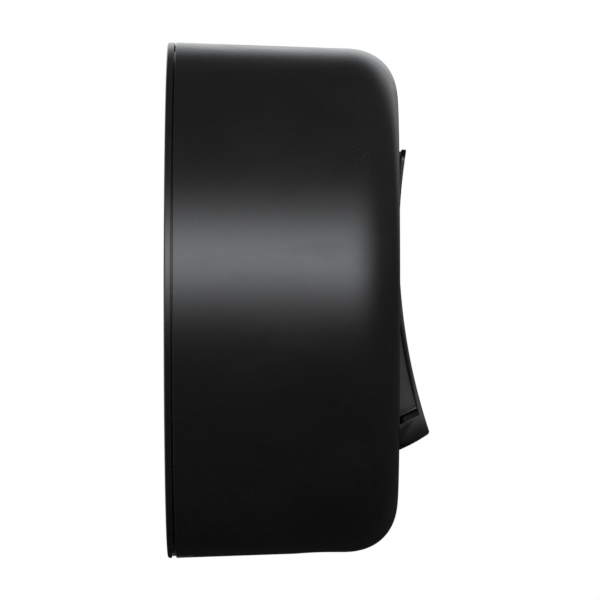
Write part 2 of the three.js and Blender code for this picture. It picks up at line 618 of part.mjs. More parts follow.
function makePistonSeal() {
  const inner = PUMP_BORE - HEAD_GROOVE + SEAL_SLACK;
  const back = headBack - HEAD_LAND - GAP;
  const front = headBack - HEAD_LENGTH + HEAD_LAND + GAP;
  return tube('y', PUMP_BORE - SEAL_SLACK, inner, front, back, 0, PUMP_HEIGHT);
}

// Button on the stem's end: it takes the lever's push and carries the spring's front end
function makePistonButton() {
  const button = rod('y', BUTTON_RADIUS, -pistonFront, buttonBack, 0, PUMP_HEIGHT, 40);
  const hub = rod('y', STEM_RADIUS + GAP + BUTTON_HUB_WALL, buttonBack - 1, buttonBack + 3, 0, PUMP_HEIGHT);
  const socket = rod('y', STEM_RADIUS + GAP, buttonBack - BUTTON_SKIN - GAP, buttonBack + 4, 0, PUMP_HEIGHT);
  return button.add(hub).subtract(socket);
}

class Helix extends THREE.Curve {
  constructor(radius, turns, from, to, height) {
    super();
    Object.assign(this, { radius, turns, from, to, height });
  }

  getPoint(t, target = new THREE.Vector3()) {
    const angle = t * this.turns * 2 * Math.PI;
    const y = THREE.MathUtils.lerp(this.from, this.to, t);
    return target.set(this.radius * Math.cos(angle), y, this.height + this.radius * Math.sin(angle));
  }
}

// Round wire or pipe along a curve
function along(curve, radius, bore, steps, sides) {
  const section = new THREE.Shape().absarc(0, 0, radius, 0, 2 * Math.PI);
  if (bore) section.holes.push(new THREE.Path().absarc(0, 0, bore, 0, 2 * Math.PI, true));
  return solid(new THREE.ExtrudeGeometry(section, { extrudePath: curve, steps, curveSegments: sides / 2 }));
}

function makePumpSpring() {
  const back = -PUMP_FRONT - GAP - CAP_THICK - GAP - SPRING_WIRE;
  const front = buttonBack + GAP + SPRING_WIRE;
  const coil = new Helix(SPRING_RADIUS, SPRING_TURNS, back, front, PUMP_HEIGHT);
  return along(coil, SPRING_WIRE, 0, SPRING_TURNS * 12, 6);
}

// Pipe from the pump's port, forward in an easy bend and down to the nozzle
function makeOutletTube() {
  const [y0, y1] = [-CHAMBER_DEPTH, -NOZZLE_DEPTH];
  const path = new THREE.CurvePath();
  const at = (y, z) => new THREE.Vector3(0, y, z);
  const drop = 6;
  const bend = 12;
  const rake = 3;
  const kneeHigh = tubeStart - drop - 8;
  const tipTop = nozzleEnd - TIP_NOSE + TIP_LENGTH;
  const kneeLow = tipTop + bend;
  const [bendTop, bendEnd] = [at(y0, kneeHigh), at(y0 - bend, kneeHigh - rake)];
  path.add(new THREE.LineCurve3(at(y0, tubeStart), at(y0, tubeStart - drop)));
  path.add(new THREE.QuadraticBezierCurve3(at(y0, tubeStart - drop), bendTop, bendEnd));
  path.add(new THREE.LineCurve3(bendEnd, at(y1 + bend, kneeLow)));
  path.add(new THREE.QuadraticBezierCurve3(at(y1 + bend, kneeLow), at(y1, kneeLow - rake), at(y1, tipTop)));
  path.add(new THREE.LineCurve3(at(y1, tipTop), at(y1, nozzleEnd)));
  const flange = tube('z', OUTLET_BOSS_RADIUS, TUBE_BORE, tubeStart - TUBE_FLANGE, tubeStart, 0, y0);
  return along(path, TUBE_RADIUS, TUBE_BORE, 28, 10).add(flange);
}

// Ring nut that holds the outlet tube's flange to the pump
function makeTubeNut() {
  const inner = OUTLET_BOSS_RADIUS + GAP;
  const floorTop = tubeStart - TUBE_FLANGE - SIDE_GAP;
  const low = floorTop - 2;
  const nut = tube('z', inner + TUBE_NUT_WALL, inner, low, tubeStart + TUBE_NUT_RISE, 0, -CHAMBER_DEPTH, 12);
  return nut.add(tube('z', inner + 1, TUBE_RADIUS + SIDE_GAP, low, floorTop, 0, -CHAMBER_DEPTH));
}

// Silicone tip that closes the tube between strokes
function makeNozzleTip() {
  const inner = TUBE_RADIUS + GAP;
  const end = nozzleEnd - TIP_NOSE;
  const top = end + TIP_LENGTH;
  const seat = nozzleEnd - GAP;
  return turned('z', [
    [inner, top], [TIP_RADIUS, top], [TIP_RADIUS, nozzleEnd], [TIP_RADIUS / 2, end], [1, end],
    [TUBE_BORE, seat], [inner, seat], [inner, top],
  ], 0, -NOZZLE_DEPTH);
}

function makeInletValve() {
  const top = TANK_BOTTOM - SPOUT_LENGTH - GAP;
  const disc = rod('z', INLET_SOCKET - GAP, top - VALVE_THICK, top, 0, -CHAMBER_DEPTH);
  const [low, high] = [top - VALVE_THICK - 1, top + 1];
  const slit = tube('z', SPOUT_BORE + 1.2, SPOUT_BORE + 0.4, low, high, 0, -CHAMBER_DEPTH);
  const [half, back] = [INLET_SOCKET, -CHAMBER_DEPTH + INLET_SOCKET];
  const hinge = box(-half, half, -CHAMBER_DEPTH, back, low - 1, high + 1);
  return disc.subtract(slit.subtract(hinge));
}

function makeSpoutSeal() {
  const top = TANK_BOTTOM - SPOUT_SEAL_DROP;
  return tube('z', INLET_SOCKET - GAP, SPOUT_RADIUS + GAP, top - SPOUT_SEAL_THICK, top, 0, -CHAMBER_DEPTH);
}

// Bracket that carries the pump: a base on the plate's bosses and two cheeks with a saddle
function makeBracket() {
  const back = -BOSS_DEPTH - GAP;
  const front = back - BRACKET_THICK;
  const inner = PUMP_RADIUS + SIDE_GAP;
  const outer = inner + CHEEK_THICK;
  const half = SCREW_X + SCREW_MARGIN;
  const [high, low] = SCREW_HEIGHTS;
  let bracket = box(-half, half, front, back, low - SCREW_MARGIN, high + SCREW_MARGIN);
  const cheekFront = -PUMP_FRONT + CAP_SKIRT + GAP;
  const floor = PUMP_HEIGHT - inner;
  const saddleBack = cheekFront + SADDLE_LENGTH;
  bracket = bracket.add(box(-outer, outer, cheekFront, saddleBack, floor - CHEEK_THICK, floor));
  for (const [a, b] of [[inner, outer], [-outer, -inner]]) {
    bracket = bracket.add(box(a, b, cheekFront, front + 1, floor - CHEEK_THICK, PUMP_HEIGHT + CHEEK_RISE));
  }
  for (const x of [-SCREW_X, SCREW_X]) {
    for (const height of SCREW_HEIGHTS) {
      bracket = bracket.subtract(rod('y', SCREW_RADIUS + GAP, front - 1, back + 1, x, height, 16));
    }
  }
  return bracket;
}

function makeScrew(x, height) {
  const seat = -BOSS_DEPTH - GAP - BRACKET_THICK - GAP;
  const shank = rod('y', SCREW_RADIUS, seat, -PLATE_THICK - 2 * GAP, x, height, 16);
  const head = turned('y', [
    [0, seat], [SCREW_HEAD_RADIUS, seat], [SCREW_HEAD_RADIUS, seat - SCREW_HEAD / 2],
    [SCREW_SLOT_HALF + SIDE_GAP, seat - SCREW_HEAD],
    [0, seat - SCREW_HEAD],
  ], x, height, 24);
  const [far, floor] = [seat - SCREW_HEAD - 1, seat - SCREW_HEAD / 2];
  const [long, thin] = [SCREW_SLOT_HALF, SCREW_SLOT / 2];
  const cross = box(x - long, x + long, far, floor, height - thin, height + thin)
    .add(box(x - thin, x + thin, far, floor, height - long, height + long));
  return shank.add(head).subtract(cross);
}

// Tank outline across the drum, moved in by inset
function tankOutline(inset) {
  const radius = TANK_RADIUS - inset;
  const top = TANK_TOP - inset;
  const low = TANK_BOTTOM + inset;
  const high = Math.asin(top / radius);
  const down = Math.asin(low / radius);
  const shape = new THREE.Shape();
  shape.moveTo(radius * Math.cos(down), low);
  shape.absarc(0, 0, radius, down, high);
  shape.lineTo(-radius * Math.cos(high), top);
  shape.absarc(0, 0, radius, Math.PI - high, Math.PI - down);
  return shape;
}

function makeTank() {
  let tank = prism('y', tankOutline(0), -TANK_FRONT, -TANK_BACK, 10);
  const [front, back] = [-TANK_FRONT + TANK_WALL, -TANK_BACK - TANK_WALL];
  tank = tank.subtract(prism('y', tankOutline(TANK_WALL), front, back, 10));
  const spoutEnd = TANK_BOTTOM - SPOUT_LENGTH;
  tank = tank.add(rod('z', SPOUT_RADIUS, spoutEnd, TANK_BOTTOM + 1, 0, -CHAMBER_DEPTH));
  tank = tank.subtract(rod('z', SPOUT_BORE, spoutEnd - 1, TANK_BOTTOM + TANK_WALL + 1, 0, -CHAMBER_DEPTH));
  const mouth = roundedRectangle(-MOUTH_HALF, MOUTH_HALF, -MOUTH_FRONT, -MOUTH_BACK, MOUTH_CORNER);
  tank = tank.subtract(prism('z', mouth, TANK_TOP - TANK_WALL - 1, TANK_TOP + 1, 4));
  for (const [a, b] of [[LUG_INNER, LUG_OUTER], [-LUG_OUTER, -LUG_INNER]]) {
    let lug = rod('x', LID_KNUCKLE_RADIUS, a, b, -LID_HINGE_DEPTH, LID_HINGE_HEIGHT, 20);
    const half = LID_KNUCKLE_RADIUS;
    lug = lug.add(box(a, b, -LID_HINGE_DEPTH - half, -LID_HINGE_DEPTH + half, TANK_TOP - 1, LID_HINGE_HEIGHT));
    const pinHole = rod('x', LID_PIN_RADIUS + GAP, a - 1, b + 1, -LID_HINGE_DEPTH, LID_HINGE_HEIGHT, 20);
    tank = tank.add(lug.subtract(pinHole));
  }
  return tank;
}

function makeTankLid() {
  const low = TANK_TOP + 2 * GAP + GASKET_THICK;
  const half = MOUTH_HALF + LID_MARGIN;
  const back = -LID_HINGE_DEPTH - LID_KNUCKLE_RADIUS - SIDE_GAP;
  const plate = roundedRectangle(-half, half, -MOUTH_FRONT - LID_MARGIN, back, MOUTH_CORNER - 1);
  const neck = LUG_INNER - SIDE_GAP;
  const lip = -MOUTH_FRONT - LID_MARGIN - LID_LIFT_REACH;
  const high = low + LID_THICK;
  let lid = prism('z', plate, low, high, 4);
  lid = lid.add(box(-neck, neck, back - 1, -LID_HINGE_DEPTH, low, high));
  lid = lid.add(rod('x', LID_KNUCKLE_RADIUS, -neck, neck, -LID_HINGE_DEPTH, LID_HINGE_HEIGHT, 20));
  lid = lid.add(box(-LID_LIFT_HALF, LID_LIFT_HALF, lip, -MOUTH_FRONT, high - 1.4, high));
  const pinHole = rod('x', LID_PIN_RADIUS + GAP, -neck - 1, neck + 1, -LID_HINGE_DEPTH, LID_HINGE_HEIGHT, 20);
  return lid.subtract(pinHole);
}

function makeTankGasket() {
  const low = TANK_TOP + GAP;
  const ring = (margin, corner) => roundedRectangle(
    -MOUTH_HALF - margin, MOUTH_HALF + margin, -MOUTH_FRONT - margin, -MOUTH_BACK + margin, corner,
  );
  const outer = prism('z', ring(GASKET_MARGIN, MOUTH_CORNER), low, low + GASKET_THICK, 4);
  const inner = ring(-0.2, MOUTH_CORNER - SIDE_GAP);
  return outer.subtract(prism('z', inner, low - 1, low + GASKET_THICK + 1, 4));
}

function makeLockPlug() {
  const top = drumRadius(LOCK_DEPTH) - GAP;
  const shoulder = camTop + GAP;
  const plug = rod('z', PLUG_RADIUS, shoulder, top, 0, -LOCK_DEPTH)
    .add(rod('z', TAIL_RADIUS, camBottom - NUT_THICK - 1, shoulder + 1, 0, -LOCK_DEPTH, 24));
  const [thin, long] = [KEYWAY_WIDTH / 2, KEYWAY_HALF];
  return plug.subtract(box(-thin, thin, -LOCK_DEPTH - long, -LOCK_DEPTH + long, top - KEYWAY_DEPTH, top + 1));
}

function makeLockCam() {
  const hub = rod('z', CAM_HUB_RADIUS, camBottom, camTop, 0, -LOCK_DEPTH);
  const arm = box(-CAM_HALF_WIDTH, CAM_HALF_WIDTH, -LOCK_DEPTH, -LOCK_DEPTH + CAM_REACH, camBottom, camTop);
  return hub.add(arm).subtract(rod('z', TAIL_RADIUS + GAP, camBottom - 1, camTop + 1, 0, -LOCK_DEPTH, 24));
}

function makeLockNut() {
  const [low, high] = [camBottom - NUT_THICK - GAP, camBottom - GAP];
  const nut = rod('z', NUT_RADIUS, low, high, 0, -LOCK_DEPTH, 6);
  return nut.subtract(rod('z', TAIL_RADIUS + GAP, low - 1, high + 1, 0, -LOCK_DEPTH, 24));
}

// Strike on the plate with a lip that the cam turns behind
function makeStrike() {
  const root = -PLATE_THICK - GAP;
  const shelf = camBottom - STRIKE_SHELF_DROP;
  const lipBack = -LOCK_DEPTH - CAM_HALF_WIDTH - STRIKE_GAP;
  const lipFront = lipBack - STRIKE_THICK;
  return box(STRIKE_NEAR, STRIKE_FAR, root - STRIKE_THICK, root, shelf - STRIKE_FOOT, shelf + STRIKE_THICK)
    .add(box(STRIKE_NEAR, STRIKE_FAR, lipFront, root, shelf, shelf + STRIKE_THICK))
    .add(box(STRIKE_NEAR, STRIKE_FAR, lipFront, lipBack, shelf, camTop + STRIKE_CATCH));
}

part('back_plate', makeBackPlate(), BLACK_SATIN);
part('cover', makeCover(), BLACK_SATIN);
part('cover_hinge_pin', makeHingePin(), STEEL);
part('lever_face', makeLeverFace(), BLACK_GLOSS);
part('lever_body', makeLeverBody(), WARM_GREY);
const leverPinEnd = earInner + EAR_THICK + 1;
part('lever_pin', rod('x', PIVOT_PIN_RADIUS, -leverPinEnd, leverPinEnd, -PIVOT_DEPTH, PIVOT_HEIGHT, 24), STEEL);
part('presser_pad', makePresserPad(), PALE_GREY);
for (const [side, sign] of [['left', -1], ['right', 1]]) {
  const x = sign * (windowHalf + STOP_RADIUS + SIDE_GAP);
  const stop = rod('y', STOP_RADIUS, -innerFront + GAP, -innerFront + GAP + STOP_THICK, x, STOP_HEIGHT, 24);
  part(`lever_stop_${side}`, stop, RUBBER);
}
part('pump_body', makePumpBody(), WHITE);
part('pump_cap', makePumpCap(), PALE_GREY);
part('piston', makePiston(), WHITE);
part('piston_seal', makePistonSeal(), RUBBER);
part('piston_button', makePistonButton(), PALE_GREY);
part('pump_spring', makePumpSpring(), STEEL);
part('inlet_valve', makeInletValve(), SILICONE);
part('spout_seal', makeSpoutSeal(), RUBBER);
part('outlet_tube', makeOutletTube(), WHITE);
part('tube_nut', makeTubeNut(), PALE_GREY);
part('nozzle_tip', makeNozzleTip(), SILICONE);
part('pump_bracket', makeBracket(), PALE_GREY);
let screwNumber = 1;
for (const x of [-SCREW_X, SCREW_X]) {
  for (const height of SCREW_HEIGHTS) {
    part(`bracket_screw_${screwNumber}`, makeScrew(x, height), STEEL);
    screwNumber += 1;
  }
}
part('tank', makeTank(), NATURAL);
part('tank_lid', makeTankLid(), PALE_GREY);
part('tank_gasket', makeTankGasket(), RUBBER);
const lidPin = rod('x', LID_PIN_RADIUS, -LUG_OUTER, LUG_OUTER, -LID_HINGE_DEPTH, LID_HINGE_HEIGHT, 16);
part('tank_lid_pin', lidPin, STEEL);
const housing = tube('z', HOUSING_RADIUS, PLUG_RADIUS + GAP, housingBottom, housingTop, 0, -LOCK_DEPTH);
part('lock_housing', housing, ZINC);
part('lock_plug', makeLockPlug(), ZINC);
part('lock_cam', makeLockCam(), STEEL);
part('lock_nut', makeLockNut(), STEEL);
part('lock_strike', makeStrike(), STEEL);

export default dispenser;
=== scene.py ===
"""Wall mounted soap dispenser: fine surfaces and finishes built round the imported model.

Metres, +Z up, the wall is the plane y = 0 and the front faces -Y.
"""
import json
import math

import bmesh
import bpy
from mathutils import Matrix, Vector


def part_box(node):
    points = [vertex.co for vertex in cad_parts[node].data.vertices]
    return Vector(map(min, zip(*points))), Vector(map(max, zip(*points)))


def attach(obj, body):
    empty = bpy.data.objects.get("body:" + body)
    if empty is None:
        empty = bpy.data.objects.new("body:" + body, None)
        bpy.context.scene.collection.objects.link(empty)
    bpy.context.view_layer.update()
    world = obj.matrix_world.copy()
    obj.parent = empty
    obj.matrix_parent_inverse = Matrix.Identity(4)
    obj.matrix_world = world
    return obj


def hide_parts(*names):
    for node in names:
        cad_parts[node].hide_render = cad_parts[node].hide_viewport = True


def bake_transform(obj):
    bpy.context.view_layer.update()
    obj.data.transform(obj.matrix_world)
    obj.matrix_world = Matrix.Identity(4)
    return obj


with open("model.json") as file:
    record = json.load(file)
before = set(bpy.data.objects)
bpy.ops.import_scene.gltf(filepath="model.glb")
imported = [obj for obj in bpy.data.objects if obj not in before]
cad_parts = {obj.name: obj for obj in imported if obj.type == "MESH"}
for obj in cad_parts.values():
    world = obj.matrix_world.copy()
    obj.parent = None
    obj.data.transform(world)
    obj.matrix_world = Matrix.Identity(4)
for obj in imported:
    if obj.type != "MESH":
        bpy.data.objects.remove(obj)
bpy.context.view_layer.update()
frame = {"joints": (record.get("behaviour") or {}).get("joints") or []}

MM = 0.001

# Drum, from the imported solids
plate_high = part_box("back_plate")[1]
cover_low, cover_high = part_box("cover")
DRUM_RADIUS = plate_high.x
COVER_BACK = -cover_high.y
BODY_DEPTH = -cover_low.y
PLATE_THICK = 3 * MM
COVER_WALL = 2.8 * MM
COVER_DRAFT = math.radians(2)
FRONT_ROUND = 24 * MM
FRONT_ROUND_POWER = 2.35
GAP = 0.3 * MM

# Lever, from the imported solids
face_low, face_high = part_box("lever_face")
LEVER_HALF = face_high.x
LEVER_TOP = face_high.z
LEVER_GAP = 1.2 * MM
LEVER_TOP_GAP = 1.7 * MM
LEVER_CORNER = 5 * MM
LEVER_ARC_RADIUS = 252 * MM
LEVER_ARC_HEIGHT = 23.9 * MM
LEVER_SKIN = 1.8 * MM
LEVER_INSET = 1 * MM
LEVER_WALL = 2.4 * MM


# ---------------------------------------------------------------- making meshes

def work_object(bm):
    bmesh.ops.remove_doubles(bm, verts=bm.verts, dist=1e-7)
    bmesh.ops.recalc_face_normals(bm, faces=bm.faces)
    mesh = bpy.data.meshes.new("work")
    bm.to_mesh(mesh)
    bm.free()
    obj = bpy.data.objects.new("work", mesh)
    bpy.context.scene.collection.objects.link(obj)
    return obj


def on_axis(axis, across, up, along):
    """A point drawn across an axis: (y, z) for x, (x, z) for y and (x, y) for z."""
    return {"x": (along, across, up), "y": (across, along, up), "z": (across, up, along)}[axis]


def prism(axis, outline, start, end):
    """A flat outline pulled along an axis."""
    bm = bmesh.new()
    rings = [[bm.verts.new(on_axis(axis, u, v, w)) for u, v in outline] for w in (start, end)]
    for i in range(len(outline)):
        j = (i + 1) % len(outline)
        bm.faces.new((rings[0][i], rings[0][j], rings[1][j], rings[1][i]))
    bm.faces.new(rings[0])
    bm.faces.new(rings[1])
    return work_object(bm)


def block(low, high):
    (x0, y0, z0), (x1, y1, z1) = low, high
    return prism("y", [(x0, z0), (x1, z0), (x1, z1), (x0, z1)], y0, y1)


def lathe(axis, profile, centre=(0, 0), sides=96, closed=False):
    """A profile of (radius, height) points turned about an axis.

    It starts and ends on the axis, or closes.
    """
    bm = bmesh.new()
    rows = []
    for radius, height in profile:
        count = 1 if radius < 1e-9 else sides
        row = []
        for i in range(count):
            turn = 2 * math.pi * i / sides
            place = (centre[0] + radius * math.cos(turn), centre[1] + radius * math.sin(turn))
            row.append(bm.verts.new(on_axis(axis, *place, height)))
        rows.append(row)
    pairs = list(zip(rows, rows[1:] + (rows[:1] if closed else [])))
    for a, b in pairs:
        if len(a) == 1 and len(b) == 1:
            continue
        for i in range(sides):
            j = (i + 1) % sides
            corners = [a[i % len(a)], a[j % len(a)], b[j % len(b)], b[i % len(b)]]
            bm.faces.new(list(dict.fromkeys(corners)))
    return work_object(bm)


def rod(axis, radius, start, end, centre=(0, 0), sides=64):
    return lathe(axis, [(0, start), (radius, start), (radius, end), (0, end)], centre, sides)


def tube(axis, outer, inner, start, end, centre=(0, 0), sides=64):
    profile = [(inner, start), (outer, start), (outer, end), (inner, end)]
    return lathe(axis, profile, centre, sides, closed=True)


def stitched_rings(rings, close_ends=False):
    """A skin over loops of equal length. Without closed ends, the last loop joins the first."""
    bm = bmesh.new()
    rows = [[bm.verts.new(p) for p in ring] for ring in rings]
    pairs = list(zip(rows, rows[1:]))
    if close_ends:
        bm.faces.new(rows[0])
        bm.faces.new(rows[-1])
    else:
        pairs.append((rows[-1], rows[0]))
    for a, b in pairs:
        for i in range(len(a)):
            j = (i + 1) % len(a)
            bm.faces.new((a[i], a[j], b[j], b[i]))
    return work_object(bm)


def bake_modifiers(obj):
    evaluated = obj.evaluated_get(bpy.context.evaluated_depsgraph_get())
    mesh = bpy.data.meshes.new_from_object(evaluated)
    obj.modifiers.clear()
    obj.data = mesh
    return obj


def combine(base, add=(), cut=(), keep=()):
    """Joins, cuts and trims a solid with others, which are used up."""
    kinds = (("UNION", add), ("DIFFERENCE", cut), ("INTERSECT", keep))
    steps = [(operation, tool) for operation, tools in kinds for tool in tools]
    for operation, tool in steps:
        boolean = base.modifiers.new(operation, "BOOLEAN")
        boolean.operation = operation
        boolean.solver = "EXACT"
        boolean.object = tool
    bake_modifiers(base)
    for _, tool in steps:
        bpy.data.objects.remove(tool)
    return base


def soften(obj, width, segments=3, angle=32):
    """Rounds every edge that is sharper than an angle."""
    weld = obj.modifiers.new("weld", "WELD")
    weld.merge_threshold = 1e-6
    bevel = obj.modifiers.new("edge round", "BEVEL")
    bevel.width = width
    bevel.segments = segments
    bevel.limit_method = "ANGLE"
    bevel.angle_limit = math.radians(angle)
    bevel.use_clamp_overlap = True
    return bake_modifiers(obj)


def piece(obj, name, finish, body, slot, *nodes, smooth=35):
    """Names an object, gives it its material and body, and hides the solids that it stands for.

    With no body it is left for a blend between two.
    """
    obj.name = name
    obj.data.name = name
    obj.data.materials.clear()
    obj.data.materials.append(finish)
    obj.data.shade_smooth()
    bpy.context.view_layer.objects.active = obj
    obj.data.set_sharp_from_angle(angle=math.radians(smooth))
    if body:
        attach(obj, body)
    if nodes:
        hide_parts(*nodes)
    return obj


def rounded_rectangle(u0, u1, v0, v1, radius, corner_steps=10, side_step=None):
    """Outline of a rectangle with round corners, anticlockwise from its right side."""
    corners = [(u1 - radius, v1 - radius, 0), (u0 + radius, v1 - radius, 90),
               (u0 + radius, v0 + radius, 180), (u1 - radius, v0 + radius, 270)]
    points = []
    for u, v, first in corners:
        for i in range(corner_steps + 1):
            turn = math.radians(first + 90 * i / corner_steps)
            points.append((u + radius * math.cos(turn), v + radius * math.sin(turn)))
    if side_step is None:
        return points
    filled = []
    for (a, b), (c, d) in zip(points, points[1:] + points[:1]):
        count = max(1, round(math.dist((a, b), (c, d)) / side_step))
        filled += [(a + (c - a) * k / count, b + (d - b) * k / count) for k in range(count)]
    return filled


def pin(name, dome=0.4 * MM):
    """A round pin across the object with eased ends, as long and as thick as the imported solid."""
    low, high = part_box(name)
    radius = (high.y - low.y) / 2
    centre = [(high.y + low.y) / 2, (high.z + low.z) / 2]
    start, end = low.x, high.x
    profile = [
        (0, start), (radius - dome, start), (radius - dome * 0.3, start + dome * 0.3),
        (radius, start + dome),
    ]
    profile += [(r, start + end - at) for r, at in reversed(profile)]
    return lathe("x", profile, centre, 48)


def grip_ring(axis, profile, centre, ribs, depth):
    """A ring of closed (radius, height, ribbed) points. The ribbed ones carry grip ribs."""
    sides = ribs * 8
    rings = []
    for radius, height, ribbed in profile:
        ring = []
        for i in range(sides):
            turn = 2 * math.pi * i / sides
            sunk = depth * max(0.0, math.cos(ribs * turn)) ** 0.7 if ribbed else 0.0
            across, up = (radius - sunk) * math.cos(turn), (radius - sunk) * math.sin(turn)
            ring.append(on_axis(axis, centre[0] + across, centre[1] + up, height))
        rings.append(ring)
    return stitched_rings(rings)


def pipe(points, radius, bore=0.0, sides=20):
    """Round wire or pipe along points in space, with a frame that never twists."""
    points = [Vector(p) for p in points]
    before, after = points[:1] + points[:-1], points[1:] + points[-1:]
    aims = [(b - a).normalized() for a, b in zip(before, after)]
    aims[0] = (points[1] - points[0]).normalized()
    side = aims[0].orthogonal().normalized()
    outer, inner = [], []
    for point, aim in zip(points, aims):
        side = (side - aim * side.dot(aim)).normalized()
        other = aim.cross(side)
        turns = [2 * math.pi * i / sides for i in range(sides)]
        ways = [side * math.cos(t) + other * math.sin(t) for t in turns]
        outer.append([point + way * radius for way in ways])
        inner.append([point + way * bore for way in ways])
    if not bore:
        return stitched_rings(outer, close_ends=True)
    return stitched_rings(outer + inner[::-1])


def bowed(start, knee, end, steps=14):
    """Points on the easy bend from start to end that is pulled towards knee."""
    points = []
    for i in range(1, steps + 1):
        t = i / steps
        points.append(tuple(
            (1 - t) ** 2 * a + 2 * t * (1 - t) * b + t * t * c for a, b, c in zip(start, knee, end)
        ))
    return points


# ---------------------------------------------------------------- shader maths

class Wire:
    """A socket that takes part in arithmetic. Each operation adds a Math node."""

    def __init__(self, finish, socket):
        self.finish = finish
        self.socket = socket

    def maths(self, operation, *values):
        return self.finish.node("ShaderNodeMath", {"operation": operation}, dict(enumerate(values)))

    def __add__(self, other):
        return self.maths("ADD", self, other)

    def __radd__(self, other):
        return self.maths("ADD", other, self)

    def __sub__(self, other):
        return self.maths("SUBTRACT", self, other)

    def __rsub__(self, other):
        return self.maths("SUBTRACT", other, self)

    def __mul__(self, other):
        return self.maths("MULTIPLY", self, other)

    def __rmul__(self, other):
        return self.maths("MULTIPLY", other, self)

    def __truediv__(self, other):
        return self.maths("DIVIDE", self, other)

    def __pow__(self, other):
        return self.maths("POWER", self, other)

    def lobe(self, centre, width):
        """1 at centre, falling off like a bell on both sides."""
        away = (self - centre) / width
        return self.maths("EXPONENT", away * away * -1.0)

    def positive(self):
        return self.maths("MAXIMUM", self, 0.0)

    def ramp(self, low, high):
        """0 at low, 1 at high, smooth between."""
        return self.finish.node(
            "ShaderNodeMapRange", {"interpolation_type": "SMOOTHSTEP"},
            {"Value": self, "From Min": low, "From Max": high},
        )


class NodeSheet:
    """A node tree that nodes are added to and wired with values or other nodes."""

    def __init__(self, tree):
        self.tree = tree

    def node(self, kind, settings=None, inputs=None, output=0):
        node = self.tree.nodes.new(kind)
        for name, value in (settings or {}).items():
            setattr(node, name, value)
        for key, value in (inputs or {}).items():
            self.feed(node.inputs[key], value)
        return None if output is None else Wire(self, node.outputs[output])

    def feed(self, socket, value):
        if isinstance(value, Wire):
            self.tree.links.new(value.socket, socket)
        else:
            socket.default_value = value


class Finish(NodeSheet):
    """A material on a Principled shader, with the object's own frame for coordinates."""

    def __init__(self, name, **constants):
        self.material = bpy.data.materials.new(name)
        self.material.use_nodes = True
        super().__init__(self.material.node_tree)
        self.shader = self.tree.nodes["Principled BSDF"]
        for key, value in constants.items():
            self.set(key.replace("_", " ").title().replace("Ior", "IOR"), value)
        self.place = self.node("ShaderNodeTexCoord", output="Object")

    def set(self, name, value):
        self.feed(self.shader.inputs[name], value)

    def noise(self, size, detail=2.0, roughness=0.5, stretch=(1, 1, 1)):
        """Noise whose features are about as large as size, in metres."""
        spread = self.node(
            "ShaderNodeVectorMath", {"operation": "MULTIPLY"}, {0: self.place, 1: stretch},
        )
        return self.node(
            "ShaderNodeTexNoise", None,
            {"Vector": spread, "Scale": 1 / size, "Detail": detail, "Roughness": roughness},
        )

    def bumps(self, height, distance, strength=1.0, under=None):
        inputs = {"Height": height, "Distance": distance, "Strength": strength}
        if under is not None:
            inputs["Normal"] = under
        return self.node("ShaderNodeBump", None, inputs)

    def mix(self, share, first, second):
        """Colour between two colours."""
        return self.node(
            "ShaderNodeMix", {"data_type": "RGBA"}, {0: share, 6: first, 7: second}, output=2,
        )


def rgb(*values):
    return (*values, 1.0)


PLASTIC_GRAIN = 0.35 * MM


def moulded_plastic(name, colour, shade, roughness, grain_depth=0.006 * MM, smears=0.06, shine=0.5):
    """Moulded plastic: a fine even grain, a slow drift of tone and faint smears from wiping."""
    finish = Finish(name, specular_ior_level=shine)
    drift = finish.noise(38 * MM, 3)
    wipes = finish.noise(16 * MM, 5, 0.62, (1, 0.35, 1)).ramp(0.45, 0.72)
    finish.set("Base Color", finish.mix(drift.ramp(0.3, 0.7), rgb(*colour), rgb(*shade)))
    speckle = finish.noise(0.9 * MM, 2)
    finish.set("Roughness", roughness + (speckle - 0.5) * 0.06 + wipes * smears)
    fine = finish.noise(PLASTIC_GRAIN, 3, 0.6)
    waves = finish.noise(55 * MM, 1)
    swell = finish.bumps(waves, 0.12 * MM, 0.25)
    finish.set("Normal", finish.bumps(fine, grain_depth, 1.0, swell))
    return finish.material


def tank_plastic():
    """Blow moulded natural polythene: milky, with faint flow waves and a fine skin."""
    finish = Finish("tank_natural", transmission_weight=0.55, specular_ior_level=0.4)
    drift = finish.noise(26 * MM, 3)
    milky, thin = rgb(0.78, 0.81, 0.80), rgb(0.70, 0.74, 0.73)
    finish.set("Base Color", finish.mix(drift.ramp(0.3, 0.7), milky, thin))
    finish.set("Roughness", 0.36 + (finish.noise(4 * MM, 3) - 0.5) * 0.12)
    swell = finish.bumps(finish.noise(18 * MM, 2, 0.5, (1, 1, 2.4)), 0.25 * MM, 0.5)
    finish.set("Normal", finish.bumps(finish.noise(0.5 * MM, 2), 0.008 * MM, 1.0, swell))
    return finish.material


def soft_rubber(name, colour, roughness, grain_depth=0.015 * MM):
    """Rubber or silicone: a matt powdery skin with a little bloom."""
    finish = Finish(name, specular_ior_level=0.35)
    bloom = finish.noise(7 * MM, 4).ramp(0.4, 0.75)
    light = tuple(min(1.0, c * 1.25 + 0.01) for c in colour)
    finish.set("Base Color", finish.mix(bloom, rgb(*colour), rgb(*light)))
    finish.set("Roughness", roughness + bloom * 0.08)
    finish.set("Normal", finish.bumps(finish.noise(0.25 * MM, 3), grain_depth))
    return finish.material


